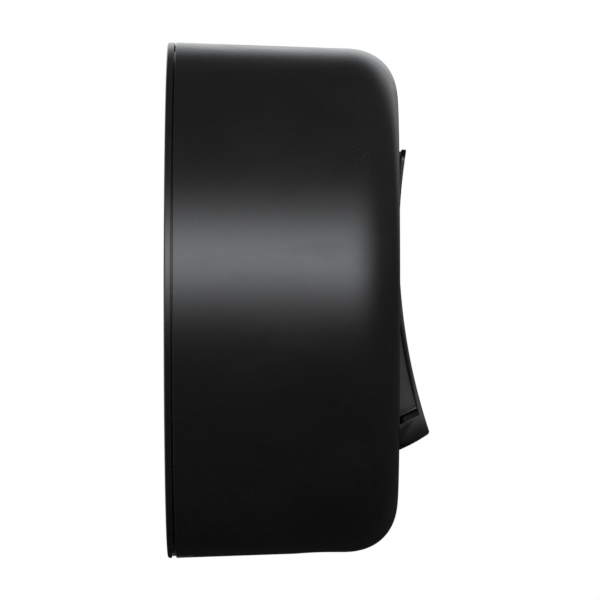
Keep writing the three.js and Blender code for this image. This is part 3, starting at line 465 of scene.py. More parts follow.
def bright_metal(name, colour, roughness, streaks, pits=0.0):
    """Drawn or cast metal: streaks along its length, small scuffs and, on castings, fine pits."""
    finish = Finish(name, metallic=1.0)
    drawn = finish.noise(1.6 * MM, 4, 0.6, streaks)
    scuffs = finish.noise(5 * MM, 5, 0.65).ramp(0.55, 0.8)
    dull = tuple(c * 0.82 for c in colour)
    finish.set("Base Color", finish.mix(drawn.ramp(0.3, 0.7), rgb(*colour), rgb(*dull)))
    finish.set("Roughness", roughness + (drawn - 0.5) * 0.14 + scuffs * 0.12)
    fine = finish.bumps(drawn, 0.01 * MM)
    if pits:
        fine = finish.bumps(finish.noise(0.6 * MM, 3).ramp(0.55, 0.7), pits, 1.0, fine)
    finish.set("Normal", fine)
    return finish.material


COVER_PLASTIC = moulded_plastic(
    "cover_satin_black", (0.0062, 0.0062, 0.0064), (0.0050, 0.0050, 0.0052),
    0.28, grain_depth=0.0025 * MM,
)
PLATE_PLASTIC = moulded_plastic(
    "plate_satin_black", (0.0060, 0.0060, 0.0062), (0.0049, 0.0049, 0.0051),
    0.28, grain_depth=0.0025 * MM,
)
LEVER_GLOSS = moulded_plastic(
    "lever_gloss_black", (0.0034, 0.0034, 0.0034), (0.0026, 0.0026, 0.0027),
    0.13, grain_depth=0.001 * MM, shine=0.3,
)
LEVER_GREY = moulded_plastic(
    "lever_warm_grey", (0.0165, 0.0155, 0.0142), (0.0140, 0.0131, 0.0120),
    0.5, grain_depth=0.012 * MM, shine=0.35,
)
WHITE_PLASTIC = moulded_plastic(
    "pump_white", (0.72, 0.72, 0.69), (0.66, 0.66, 0.63), 0.38, smears=0.04,
)
GREY_PLASTIC = moulded_plastic(
    "fitting_grey", (0.30, 0.31, 0.32), (0.26, 0.27, 0.28), 0.45, smears=0.05,
)
TANK_PLASTIC = tank_plastic()
RUBBER = soft_rubber("seal_rubber", (0.018, 0.018, 0.018), 0.72)
SILICONE = soft_rubber("clear_silicone", (0.62, 0.67, 0.68), 0.45, 0.008 * MM)
STEEL_PIN = bright_metal("drawn_steel", (0.62, 0.62, 0.61), 0.24, (0.12, 1, 1))
STEEL_SHEET = bright_metal("pressed_steel", (0.55, 0.55, 0.54), 0.32, (1, 1, 0.2))
ZINC = bright_metal("cast_zinc", (0.50, 0.49, 0.47), 0.38, (1, 1, 1), 0.01 * MM)


# ---------------------------------------------------------------- drum

def drum_radius(depth):
    return DRUM_RADIUS - math.tan(COVER_DRAFT) * (depth - COVER_BACK)


def drum_section(inset, back, steps):
    """(radius, depth) points of the drum from its open back to where its front turns flat."""
    front = BODY_DEPTH - inset
    bend = FRONT_ROUND - inset
    shoulder = front - bend
    points = []
    for i in range(steps):
        depth = back + (shoulder - back) * i / steps
        points.append((drum_radius(depth) - inset, depth))
    for i in range(steps * 3 + 1):
        turn = math.pi / 2 * i / (steps * 3)
        forward = bend * math.sin(turn) ** (2 / FRONT_ROUND_POWER)
        inward = bend * (1 - max(0.0, math.cos(turn)) ** (2 / FRONT_ROUND_POWER))
        points.append((drum_radius(shoulder) - inset - inward, shoulder + forward))
    return points


WINDOW_ROUND = 0.7 * MM
BACK_EDGE_ROUND = 0.35 * MM
LEVER_PIN_HOLE = 2.3 * MM
EAR_THICK = 3.5 * MM


def pin_ear(side):
    """One ear for the lever's pin inside the cover's front, and the hole to cut through it."""
    inner = LEVER_HALF + LEVER_GAP + 1.3 * MM
    start, end = (inner, inner + EAR_THICK) if side > 0 else (-inner - EAR_THICK, -inner)
    reach, root = 7 * MM, -BODY_DEPTH + COVER_WALL - MM
    arch = [(root, pivot.z + reach)]
    for i in range(25):
        turn = math.pi / 2 - math.pi * i / 24
        arch.append((pivot.y + reach * math.cos(turn), pivot.z + reach * math.sin(turn)))
    arch.append((root, pivot.z - reach))
    hole = rod("x", LEVER_PIN_HOLE, start - MM, end + MM, (pivot.y, pivot.z), 64)
    return prism("x", arch, start, end), hole


HINGE = (-8 * MM, -DRUM_RADIUS + 4 * MM)
KNUCKLE_RADIUS = 2.7 * MM
KNUCKLE_HALF = 10 * MM
LUG_NEAR, LUG_FAR = 10.4 * MM, 17.6 * MM
HINGE_PIN_HOLE = 1.4 * MM
LOCK = (0, -20 * MM)
LOCK_PAD_RADIUS = 11.5 * MM
LOCK_RECESS_RADIUS = 9.3 * MM
LOCK_HOLE_RADIUS = 6 * MM
NOZZLE_DEPTH = BODY_DEPTH - 34 * MM
OUTLET_HOLE_RADIUS = 11 * MM


def inside_skirt(obj):
    """Trims a solid near the open back to the drum's outside."""
    limit = rod("y", drum_radius(-HINGE[0]) - 0.05 * MM, -13 * MM, -0.5 * MM, sides=256)
    return combine(obj, keep=[limit])


def hinge_knuckle_and_notches():
    middle = rod("x", KNUCKLE_RADIUS, -KNUCKLE_HALF, KNUCKLE_HALF, HINGE, 64)
    swing = KNUCKLE_RADIUS + 2 * GAP
    cuts = [rod("x", HINGE_PIN_HOLE, -LUG_FAR, LUG_FAR, HINGE, 48)]
    outer = LUG_FAR + 0.4 * MM
    for a, b in ((KNUCKLE_HALF, outer), (-outer, -KNUCKLE_HALF)):
        cuts.append(block((a, HINGE[0] - swing, -DRUM_RADIUS - 2 * MM), (b, 0, HINGE[1] + swing)))
    return [inside_skirt(middle)], cuts


def make_cover():
    """The drum's shell as one skin: along the outside, in at the lever's window, back inside."""
    half = LEVER_HALF + LEVER_GAP
    top = LEVER_TOP + LEVER_TOP_GAP
    low = window_bottom()
    edge = rounded_rectangle(-half, half, low, top, LEVER_CORNER + LEVER_GAP, 10, 1.1 * MM)
    heads = [math.atan2(z, x) for x, z in edge]

    def circle(radius, depth):
        return [(radius * math.cos(a), -depth, radius * math.sin(a)) for a in heads]

    def window(grow, depth):
        ring = []
        for x, z in edge:
            cx = max(-half + LEVER_CORNER + LEVER_GAP, min(half - LEVER_CORNER - LEVER_GAP, x))
            cz = max(low + LEVER_CORNER + LEVER_GAP, min(top - LEVER_CORNER - LEVER_GAP, z))
            away = Vector((x - cx, z - cz))
            away = away.normalized() if away.length > 1e-9 else Vector((0, 0))
            ring.append((x + away.x * grow, -depth, z + away.y * grow))
        return ring

    def between(a, b, share):
        return [tuple(Vector(p).lerp(Vector(q), share)) for p, q in zip(a, b)]

    rings = []
    outside = drum_section(0, COVER_BACK + BACK_EDGE_ROUND, 8)
    for i in range(4):
        turn = math.pi / 2 * i / 4
        rings.append(circle(
            drum_radius(COVER_BACK) - BACK_EDGE_ROUND * (1 - math.sin(turn)),
            COVER_BACK + BACK_EDGE_ROUND * (1 - math.cos(turn)),
        ))
    rings += [circle(r, d) for r, d in outside]
    rim = window(WINDOW_ROUND, BODY_DEPTH)
    rings += [between(rings[-1], rim, share) for share in (0.04, 0.3, 0.7, 0.96)]
    for i in range(5):
        turn = math.pi / 2 * i / 4
        rings.append(window(
            WINDOW_ROUND * (1 - math.sin(turn)), BODY_DEPTH + WINDOW_ROUND * (math.cos(turn) - 1),
        ))
    inner_front = BODY_DEPTH - COVER_WALL
    inside = drum_section(COVER_WALL, COVER_BACK, 6)
    rings.append(window(0, inner_front))
    last = circle(*inside[-1])
    rings += [between(rings[-1], last, share) for share in (0.3, 0.7)]
    rings += [circle(r, d) for r, d in reversed(inside)]
    shell = stitched_rings(rings)
    adds, cuts = hinge_knuckle_and_notches()
    for side in (-1, 1):
        ear, hole = pin_ear(side)
        adds.append(ear)
        cuts.append(hole)
    low = -drum_radius(NOZZLE_DEPTH)
    outlet = (0, -NOZZLE_DEPTH)
    cuts.append(rod("z", OUTLET_HOLE_RADIUS, low - 2 * MM, low + COVER_WALL + 4 * MM, outlet, 128))
    lock_low, lock_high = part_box("lock_housing")
    pad_top = drum_radius(-LOCK[1]) - 1.9 * MM
    adds.append(rod("z", LOCK_PAD_RADIUS, lock_high.z - 8.2 * MM, pad_top, LOCK, 128))
    cuts.append(rod("z", LOCK_RECESS_RADIUS, lock_low.z, lock_high.z + GAP, LOCK, 128))
    cuts.append(rod("z", LOCK_HOLE_RADIUS, lock_high.z - MM, DRUM_RADIUS + 2 * MM, LOCK, 128))
    return combine(combine(shell, add=adds), cut=cuts)


TOE_ARC_RADIUS = 70.1 * MM
TOE_ARC_DEPTH = 70.65 * MM
TOE_ARC_HEIGHT = 1.4 * MM
TOE_LEDGE_HEIGHT = -52.65 * MM
TOE_LEDGE_RISE = 4.4 * MM
TOE_LEDGE_FALL = 2.6 * MM
SHADOW_GAP = 3.4 * MM
NECK_INSET = 3.4 * MM
TOE_TIP_FORWARD = 12.4 * MM
LEVER_TIP = -56 * MM
TOE_REAR_DEPTH = 93 * MM
TOE_WALL = 2.2 * MM
LEVER_TOP_EASE = 1.0 * MM
TOE_TIP_EASE = 1.3 * MM
pivot = Vector(next(j for j in frame["joints"] if j["name"] == "lever_pivot")["pos_m"])


def toe_height(depth):
    """Underside of the lever's toe at a depth from the wall."""
    return TOE_ARC_HEIGHT - math.sqrt(TOE_ARC_RADIUS ** 2 - (depth - TOE_ARC_DEPTH) ** 2)


def window_bottom():
    reach = math.dist((TOE_REAR_DEPTH, toe_height(TOE_REAR_DEPTH)), (-pivot.y, pivot.z))
    return pivot.z - reach - LEVER_GAP


def lever_face_y(height, set_back=0.0):
    radius = LEVER_ARC_RADIUS + set_back
    centre = -BODY_DEPTH - LEVER_ARC_RADIUS
    return centre + math.sqrt(radius ** 2 - (height - LEVER_ARC_HEIGHT) ** 2)


def lever_arc(start, end, set_back, steps=60):
    heights = [start + (end - start) * i / steps for i in range(steps + 1)]
    return [(lever_face_y(z, set_back), z) for z in heights]


def toe_arc(start, end, lift=0.0, steps=24):
    depths = [start + (end - start) * i / steps for i in range(steps + 1)]
    return [(-d, toe_height(d) + lift) for d in depths]


def step_towards(start, goal, length):
    """The point a given length from one point towards another."""
    reach = math.dist(start, goal)
    return tuple(a + (b - a) * min(1.0, length / reach) for a, b in zip(start, goal))


def eased_corner(before, corner, after, length, steps=8):
    """A corner of an outline drawn as a curve that leaves and rejoins its sides a length away."""
    enter = step_towards(corner, before, length)
    leave = step_towards(corner, after, length)
    return [enter, *bowed(enter, corner, leave, steps)]


def clear_of(line, start, end):
    """A line's points that are no nearer its two ends than the lengths given."""
    return [p for p in line if math.dist(p, line[0]) >= start and math.dist(p, line[-1]) >= end]


def make_lever_face():
    ledge_front = TOE_LEDGE_HEIGHT + TOE_LEDGE_RISE
    front_arc = lever_arc(LEVER_TOP, LEVER_TIP, 0)
    under_arc = toe_arc(BODY_DEPTH + TOE_TIP_FORWARD, TOE_REAR_DEPTH)
    top_rear = (lever_face_y(LEVER_TOP, LEVER_SKIN), LEVER_TOP)
    skin = [
        *eased_corner(top_rear, front_arc[0], front_arc[1], LEVER_TOP_EASE),
        *clear_of(front_arc, LEVER_TOP_EASE, TOE_TIP_EASE),
        *eased_corner(front_arc[-2], front_arc[-1], under_arc[2], TOE_TIP_EASE),
        *clear_of(under_arc, TOE_TIP_EASE, 0.0),
        (-TOE_REAR_DEPTH, TOE_LEDGE_HEIGHT - TOE_LEDGE_FALL),
        (-BODY_DEPTH, TOE_LEDGE_HEIGHT),
        *lever_arc(ledge_front, LEVER_TOP, LEVER_SKIN),
    ]
    foot = face_low.z - 0.1 * MM
    front = rounded_rectangle(-LEVER_HALF, LEVER_HALF, foot, LEVER_TOP, LEVER_CORNER)
    neck_top = SHADOW_GAP - 3 * GAP
    neck_half = LEVER_HALF - NECK_INSET
    neck = [
        (lever_face_y(ledge_front, LEVER_SKIN / 2), ledge_front - MM),
        (-BODY_DEPTH, TOE_LEDGE_HEIGHT - MM),
        (-BODY_DEPTH, TOE_LEDGE_HEIGHT + neck_top),
        (lever_face_y(ledge_front + neck_top, LEVER_SKIN / 2), ledge_front + neck_top),
    ]
    pocket_front = BODY_DEPTH + TOE_TIP_FORWARD - TOE_LEDGE_RISE
    pocket = [
        (-pocket_front, ledge_front - TOE_WALL),
        *toe_arc(pocket_front, TOE_REAR_DEPTH - MM, TOE_WALL),
        (-TOE_REAR_DEPTH + MM, TOE_LEDGE_HEIGHT - TOE_LEDGE_FALL - TOE_WALL),
        (-BODY_DEPTH, TOE_LEDGE_HEIGHT - TOE_WALL),
    ]
    face = combine(
        prism("x", skin, -LEVER_HALF, LEVER_HALF),
        cut=[prism("x", pocket, -LEVER_HALF + TOE_WALL, LEVER_HALF - TOE_WALL)],
        add=[prism("x", neck, -neck_half, neck_half)],
        keep=[prism("y", front, -BODY_DEPTH - 20 * MM, -BODY_DEPTH + 20 * MM)],
    )
    return soften(face, 0.45 * MM, 3)


def make_lever_body():
    half = LEVER_HALF - LEVER_INSET
    top = LEVER_TOP - LEVER_INSET
    set_back = LEVER_SKIN + GAP
    low_front = TOE_LEDGE_HEIGHT + TOE_LEDGE_RISE + SHADOW_GAP
    low = TOE_LEDGE_HEIGHT + SHADOW_GAP
    rear_low, rear_top = 89.5 * MM, 83 * MM
    side = [
        *lever_arc(top, low_front, set_back),
        (-BODY_DEPTH, low), (-rear_low, low), (-rear_top, top),
    ]
    hollow = [
        *lever_arc(top - LEVER_WALL, low_front + LEVER_WALL, set_back + LEVER_WALL),
        (-BODY_DEPTH, low + LEVER_WALL), (-rear_low + 4 * MM, low + LEVER_WALL),
        (-rear_top + 4 * MM, top - LEVER_WALL),
    ]
    body = combine(
        prism("x", side, -half, half),
        cut=[prism("x", hollow, -half + LEVER_WALL, half - LEVER_WALL)],
    )
    tab_back = BODY_DEPTH - COVER_WALL - 2.4 * MM - 2 * GAP
    stop_low, stop_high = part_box("lever_stop_left")
    stop_height = (stop_low.z + stop_high.z) / 2
    bosses, tabs = [], []
    for sign in (-1, 1):
        a, b = sorted((sign * (half - 7 * MM), sign * half))
        c, d = sorted((sign * (half - MM), sign * (half + 8 * MM)))
        bosses.append(rod("x", 3.6 * MM, a, b, (pivot.y, pivot.z - 0.6 * MM), 64))
        tabs.append(block(
            (c, -tab_back, stop_height - 5 * MM), (d, -tab_back + 2.5 * MM, stop_height + 5 * MM),
        ))
    pad_low, pad_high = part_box("presser_pad")
    post = block(
        (pad_low.x, lever_face_y(PUMP_HEIGHT, set_back + LEVER_WALL / 2), pad_low.z),
        (pad_high.x, pad_low.y - GAP, pad_high.z),
    )
    post = combine(post, keep=[prism("x", side, -half, half)])
    ribs = [
        combine(
            block(
                (x - 0.8 * MM, -BODY_DEPTH - 8 * MM, -30 * MM),
                (x + 0.8 * MM, -BODY_DEPTH + 1.6 * MM, top - 6 * MM),
            ),
            keep=[prism("x", side, -half, half)],
        )
        for x in (-14 * MM, 14 * MM)
    ]
    body = soften(combine(body, add=[*tabs, post, *ribs]), 0.3 * MM, 2)
    hole = rod("x", LEVER_PIN_HOLE, -half - MM, half + MM, (pivot.y, pivot.z), 64)
    return combine(body, add=bosses, cut=[hole])


WALL_HOLE_RADIUS, WALL_HOLE_FACE = 2.75 * MM, 3.4 * MM
WALL_HOLE_ASIDE, WALL_HOLE_LOW = 60 * MM, -72 * MM
SCREW_HOLE = 1.9 * MM


def make_back_plate():
    edge = 0.8 * MM
    lip = 0.3 * MM
    profile = [(0, 0)]
    for i in range(7):
        turn = math.pi / 2 * i / 6
        profile.append((DRUM_RADIUS - edge * (1 - math.sin(turn)), -edge * (1 - math.cos(turn))))
    for i in range(4):
        turn = math.pi / 2 * i / 3
        profile.append((
            DRUM_RADIUS - lip * (1 - math.cos(turn)), -PLATE_THICK + lip * (1 - math.sin(turn)),
        ))
    profile.append((0, -PLATE_THICK))
    disc = lathe("y", profile, sides=256)
    adds, cuts = [spigot_ring()], []
    relief_top = HINGE[1] + KNUCKLE_RADIUS + 2 * GAP
    far = DRUM_RADIUS + 10 * MM
    disc = combine(disc, cut=[block((-26 * MM, -4 * MM, -far), (26 * MM, -1.6 * MM, relief_top))])
    for a, b in ((LUG_NEAR, LUG_FAR), (-LUG_FAR, -LUG_NEAR)):
        lug = block(
            (a, HINGE[0], HINGE[1] - KNUCKLE_RADIUS), (b, -1.5 * MM, HINGE[1] + KNUCKLE_RADIUS),
        )
        lug = combine(lug, add=[rod("x", KNUCKLE_RADIUS, a, b, HINGE, 64)])
        adds.append(inside_skirt(lug))
        cuts.append(rod("x", HINGE_PIN_HOLE, a - MM, b + MM, HINGE, 48))
    adds += tank_arm(1) + tank_arm(-1)
    for place in screw_places:
        boss = rod("y", 4.5 * MM, -BOSS_DEPTH, -PLATE_THICK + MM, place, 64)
        adds.append(soften(boss, 0.3 * MM, 2))
        cuts.append(rod("y", SCREW_HOLE, -BOSS_DEPTH - MM, -PLATE_THICK + MM, place, 48))
    for x in (-WALL_HOLE_ASIDE, WALL_HOLE_ASIDE):
        for z in (WALL_HOLE_LOW, TANK_TOP + 14 * MM):
            cuts.append(lathe("y", [
                (0, MM), (WALL_HOLE_RADIUS, MM), (WALL_HOLE_RADIUS, -PLATE_THICK + 0.5 * MM),
                (WALL_HOLE_FACE, -PLATE_THICK - 0.15 * MM), (WALL_HOLE_FACE, -4 * MM), (0, -4 * MM),
            ], (x, z), 64))
    return combine(combine(disc, add=adds), cut=cuts)


def spigot_ring():
    """Ring on the plate that centres the cover, open at the hinge and at the strike."""
    back, front, wall = 2 * MM, 9 * MM, 2 * MM

    def radius(depth):
        return drum_radius(depth) - COVER_WALL - 0.6 * MM

    ring = lathe("y", [
        (radius(back), -back), (radius(front), -front + 0.5 * MM),
        (radius(front) - 0.5 * MM, -front),
        (radius(front) - wall + 0.3 * MM, -front), (radius(front) - wall, -front + 0.3 * MM),
        (radius(back) - wall, -back),
    ], sides=256, closed=True)
    far = DRUM_RADIUS + 10 * MM
    low = block((-61 * MM, -10 * MM, -far), (61 * MM, 0, 0))
    top = block((-14 * MM, -10 * MM, 0), (14 * MM, 0, far))
    return combine(ring, cut=[low, top])


def tank_arm(side):
    """One side's ledge with a lip, rest rib and hook."""
    def bar(inner, width, y0, y1, z0, z1):
        a, b = sorted((side * inner, side * (inner + width)))
        return block((a, y0, z0), (b, y1, z1))

    root, ledge, lip = -PLATE_THICK + MM, TANK_BOTTOM - 0.4 * MM, tank_low.y - 0.4 * MM
    arm = combine(
        bar(56 * MM, 6 * MM, lip - 3 * MM, root, ledge - 6 * MM, ledge),
        add=[bar(56 * MM, 6 * MM, lip - 3 * MM, lip, ledge - MM, TANK_BOTTOM + 8 * MM)],
    )
    hook = bar(40 * MM, 12 * MM, -14 * MM, root, TANK_TOP + 0.4 * MM, TANK_TOP + 3.4 * MM)
    rest = bar(
        80 * MM, 2.4 * MM, tank_high.y + GAP, root, TANK_BOTTOM + 5 * MM, TANK_BOTTOM + 55 * MM,
    )
    return [soften(support, 0.3 * MM, 2) for support in (arm, hook, rest)]


# ---------------------------------------------------------------- pump

PUMP_BORE = 7 * MM
CHAMBER_DEPTH = 24 * MM
PUMP_BACK, PUMP_FRONT = 12 * MM, 52 * MM
STEM_RADIUS = 4 * MM
OUTLET_BOSS_RADIUS = 6.5 * MM
INLET_RADIUS, SOCKET_RADIUS = 11 * MM, 9 * MM
pump_low, pump_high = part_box("pump_body")
button_low, button_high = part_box("piston_button")
seal_low, seal_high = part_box("piston_seal")
PUMP_HEIGHT = (button_low.z + button_high.z) / 2
PUMP_RADIUS = PUMP_BORE + 4 * MM
PISTON_FRONT = -button_low.y
BUTTON_BACK = -PISTON_FRONT + 3.6 * MM
level = (0, PUMP_HEIGHT)
below_tank = (0, -CHAMBER_DEPTH)


def make_pump_body():
    """Cylinder open at the front, with a socket for the tank's spout and an outlet boss below."""
    edge = 0.6 * MM
    barrel = lathe("y", [
        (0, -PUMP_BACK), (PUMP_RADIUS - 1.2 * MM, -PUMP_BACK), (PUMP_RADIUS, -PUMP_BACK - 1.2 * MM),
        (PUMP_RADIUS, -PUMP_FRONT + edge), (PUMP_RADIUS - edge, -PUMP_FRONT), (0, -PUMP_FRONT),
    ], level, 128)
    inlet = lathe("z", [
        (0, PUMP_HEIGHT), (INLET_RADIUS, PUMP_HEIGHT), (INLET_RADIUS, pump_high.z - edge),
        (INLET_RADIUS - edge, pump_high.z), (0, pump_high.z),
    ], below_tank, 128)
    boss = lathe("z", [
        (0, PUMP_HEIGHT), (OUTLET_BOSS_RADIUS, PUMP_HEIGHT),
        (OUTLET_BOSS_RADIUS, pump_low.z + edge / 2),
        (OUTLET_BOSS_RADIUS - edge / 2, pump_low.z), (0, pump_low.z),
    ], below_tank, 96)
    socket_floor = pump_high.z + 0.5 * MM - 8.6 * MM
    cuts = [
        rod("z", SOCKET_RADIUS, socket_floor, pump_high.z + MM, below_tank, 128),
        rod("y", PUMP_BORE, -PUMP_FRONT - MM, -PUMP_BACK - 4 * MM, level, 128),
        rod("z", 3 * MM, pump_low.z - MM, socket_floor + MM, below_tank, 64),
    ]
    return combine(barrel, add=[inlet, boss], cut=cuts)


def make_pump_cap():
    low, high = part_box("pump_cap")
    radius, edge = high.x, 0.6 * MM
    guide, thread = STEM_RADIUS + GAP, PUMP_RADIUS + GAP
    floor = -PUMP_FRONT - GAP
    return grip_ring("y", [
        (guide, low.y + 0.4 * MM, False), (guide + 0.4 * MM, low.y, False),
        (radius - 2.4 * MM, low.y, False), (radius - 0.8 * MM, low.y + 0.5 * MM, False),
        (radius - 0.3 * MM, low.y + 1.2 * MM, True), (radius, low.y + 2 * MM, True),
        (radius, high.y - edge, True), (radius - edge, high.y, False),
        (thread, high.y, False), (thread, floor, False), (guide, floor, False),
    ], level, 30, 0.55 * MM)


def make_piston():
    low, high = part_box("piston")
    flange, groove, land, ease = high.x, PUMP_BORE - 2 * MM, 1.6 * MM, 0.25 * MM
    front = high.y - 6 * MM
    return lathe("y", [
        (0, high.y), (flange - ease, high.y), (flange, high.y - ease),
        (flange, high.y - land + ease), (flange - ease, high.y - land),
        (groove, high.y - land), (groove, front + land),
        (flange - ease, front + land), (flange, front + land - ease), (flange, front + ease),
        (flange - ease, front), (STEM_RADIUS + 0.5 * MM, front), (STEM_RADIUS, front - 0.5 * MM),
        (STEM_RADIUS, low.y + ease), (STEM_RADIUS - ease, low.y), (0, low.y),
    ], level, 96)


def make_piston_seal():
    """Lipped ring: full at both rims and waisted between."""
    low, high = seal_low, seal_high
    outer, inner = high.x, PUMP_BORE - 1.9 * MM
    span = high.y - low.y
    profile = [(inner, low.y), (outer - 0.2 * MM, low.y)]
    for i in range(13):
        share = i / 12
        waist = 0.45 * MM * math.sin(math.pi * share) ** 2
        profile.append((outer - waist, low.y + span * (0.06 + 0.88 * share)))
    profile += [(outer - 0.2 * MM, high.y), (inner, high.y)]
    return lathe("y", profile, level, 96, closed=True)


def make_piston_button():
    """Round button with a dished face, a rolled rim and a hub that grips the stem."""
    radius, front, rim = button_high.x, button_low.y, 1.1 * MM
    socket, hub = STEM_RADIUS + GAP, STEM_RADIUS + 1.8 * MM
    profile = [(0, front + 0.25 * MM), (radius * 0.45, front + 0.2 * MM), (radius * 0.6, front)]
    for i in range(7):
        turn = math.pi / 2 * i / 6
        profile.append((radius - rim * (1 - math.sin(turn)), front + rim * (1 - math.cos(turn))))
    profile += [
        (radius, BUTTON_BACK - 0.4 * MM), (radius - 0.4 * MM, BUTTON_BACK),
        (hub + 0.5 * MM, BUTTON_BACK), (hub, BUTTON_BACK + 0.5 * MM),
        (hub, button_high.y - 0.3 * MM), (hub - 0.3 * MM, button_high.y),
        (socket, button_high.y), (socket, BUTTON_BACK - 1.5 * MM), (0, BUTTON_BACK - 1.5 * MM),
    ]
    return lathe("y", profile, level, 96)


def make_pump_spring():
    low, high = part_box("pump_spring")
    wire, turns = 0.6 * MM, 5
    radius = STEM_RADIUS + 3.4 * MM
    start, end = high.y - wire, low.y + wire
    points = []
    for i in range(turns * 44 + 1):
        share = i / (turns * 44)
        turn = 2 * math.pi * turns * share
        across, up = radius * math.cos(turn), radius * math.sin(turn)
        points.append((across, start + (end - start) * share, PUMP_HEIGHT + up))
    return pipe(points, wire * 0.98, sides=14)


def make_inlet_valve():
    low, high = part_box("inlet_valve")
    ease = 0.2 * MM
    disc = lathe("z", [
        (0, low.z), (high.x - ease, low.z), (high.x, low.z + ease),
        (high.x, high.z - ease), (high.x - ease, high.z), (0, high.z),
    ], below_tank, 96)
    slit = tube("z", 5.2 * MM, 4.4 * MM, low.z - MM, high.z + MM, below_tank, 96)
    hinge = block(
        (-9 * MM, -CHAMBER_DEPTH, low.z - 2 * MM),
        (9 * MM, -CHAMBER_DEPTH + 9 * MM, high.z + 2 * MM),
    )
    return combine(disc, cut=[combine(slit, cut=[hinge])])


def make_round_seal(name, inner, axis, centre, bulge=0.5 * MM):
    """A ring seal with rolled rims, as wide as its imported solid."""
    low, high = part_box(name)
    outer = high.x
    start, end = (low.z, high.z) if axis == "z" else (low.y, high.y)
    profile = [(inner, start + bulge), (inner + bulge * 0.4, start), (outer - bulge, start)]
    profile += [(outer - bulge * 0.3, start + bulge * 0.3), (outer, start + bulge)]
    profile += [(r, start + end - at) for r, at in reversed(profile)]
    return lathe(axis, profile, centre, 96, closed=True)


TUBE_START = PUMP_HEIGHT - (PUMP_RADIUS + 5 * MM) - 0.4 * MM
TUBE_RADIUS, TUBE_BORE = 5 * MM, 3 * MM
tip_low, tip_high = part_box("nozzle_tip")


def make_outlet_tube():
    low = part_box("outlet_tube")[0]
    back, front = -CHAMBER_DEPTH, -NOZZLE_DEPTH
    drop, bend, rake = 6 * MM, 12 * MM, 3 * MM
    knee_high, knee_low = TUBE_START - drop - 8 * MM, tip_high.z + bend
    points = [(0, back, TUBE_START), (0, back, TUBE_START - drop)]
    points += bowed(points[-1], (0, back, knee_high), (0, back - bend, knee_high - rake))
    points.append((0, front + bend, knee_low))
    points += bowed(points[-1], (0, front, knee_low - rake), (0, front, tip_high.z))
    points.append((0, front, low.z))
    flange = tube(
        "z", OUTLET_BOSS_RADIUS, TUBE_BORE, TUBE_START - 2 * MM, TUBE_START, below_tank, 96,
    )
    return combine(pipe(points, TUBE_RADIUS, TUBE_BORE, 40), add=[flange])


def make_tube_nut():
    low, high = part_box("tube_nut")
    outer, inner = high.x - 0.1 * MM, OUTLET_BOSS_RADIUS + GAP
    floor, ease = TUBE_START - 2.4 * MM, 0.4 * MM
    return grip_ring("z", [
        (TUBE_RADIUS + 0.4 * MM, low.z, False), (outer - 1.4 * MM, low.z, False),
        (outer - ease, low.z + ease, False), (outer, low.z + 1.2 * MM, True),
        (outer, high.z - 1.2 * MM, True), (outer - ease, high.z, False),
        (inner, high.z, False), (inner, floor, False), (TUBE_RADIUS + 0.4 * MM, floor, False),
    ], below_tank, 20, 0.45 * MM)


def make_nozzle_tip():
    outer, inner = tip_high.x, TUBE_RADIUS + GAP
    nozzle_end = tip_low.z + 4 * MM
    profile = [(inner, tip_high.z), (outer - 0.5 * MM, tip_high.z), (outer, tip_high.z - 0.5 * MM)]
    for i in range(9):
        turn = math.pi / 2 * i / 8
        across = outer / 2 + outer / 2 * math.cos(turn)
        profile.append((across, nozzle_end - 3.4 * MM * math.sin(turn)))
    profile += [
        (outer / 2 - 0.2 * MM, tip_low.z), (1.2 * MM, tip_low.z), (MM, tip_low.z + 0.2 * MM),
        (TUBE_BORE, nozzle_end - GAP), (inner, nozzle_end - GAP),
    ]
    return lathe("z", profile, (0, -NOZZLE_DEPTH), 96, closed=True)


BOSS_DEPTH = 8 * MM
SCREW_NAMES = [f"bracket_screw_{number}" for number in (1, 2, 3, 4)]
screw_places = []
for screw_name in SCREW_NAMES:
    screw_low, screw_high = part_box(screw_name)
    screw_places.append(((screw_low.x + screw_high.x) / 2, (screw_low.z + screw_high.z) / 2))


def make_bracket():
    low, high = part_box("pump_bracket")
    back, front = high.y, high.y - 3 * MM
    inner = PUMP_RADIUS + 0.4 * MM
    outer = inner + 2.6 * MM
    floor = PUMP_HEIGHT - inner
    base = prism("y", rounded_rectangle(low.x, high.x, low.z, high.z, 3 * MM, 8), front, back)
    saddle = block((-outer, low.y, floor - 2.6 * MM), (outer, low.y + 12 * MM, floor))
    cheeks = [
        block((a, low.y, floor - 2.6 * MM), (b, front + MM, PUMP_HEIGHT + 6 * MM))
        for a, b in ((inner, outer), (-outer, -inner))
    ]
    holes = [rod("y", SCREW_HOLE, front - MM, back + MM, place, 48) for place in screw_places]
    return soften(combine(base, add=[saddle, *cheeks], cut=holes), 0.35 * MM, 2)


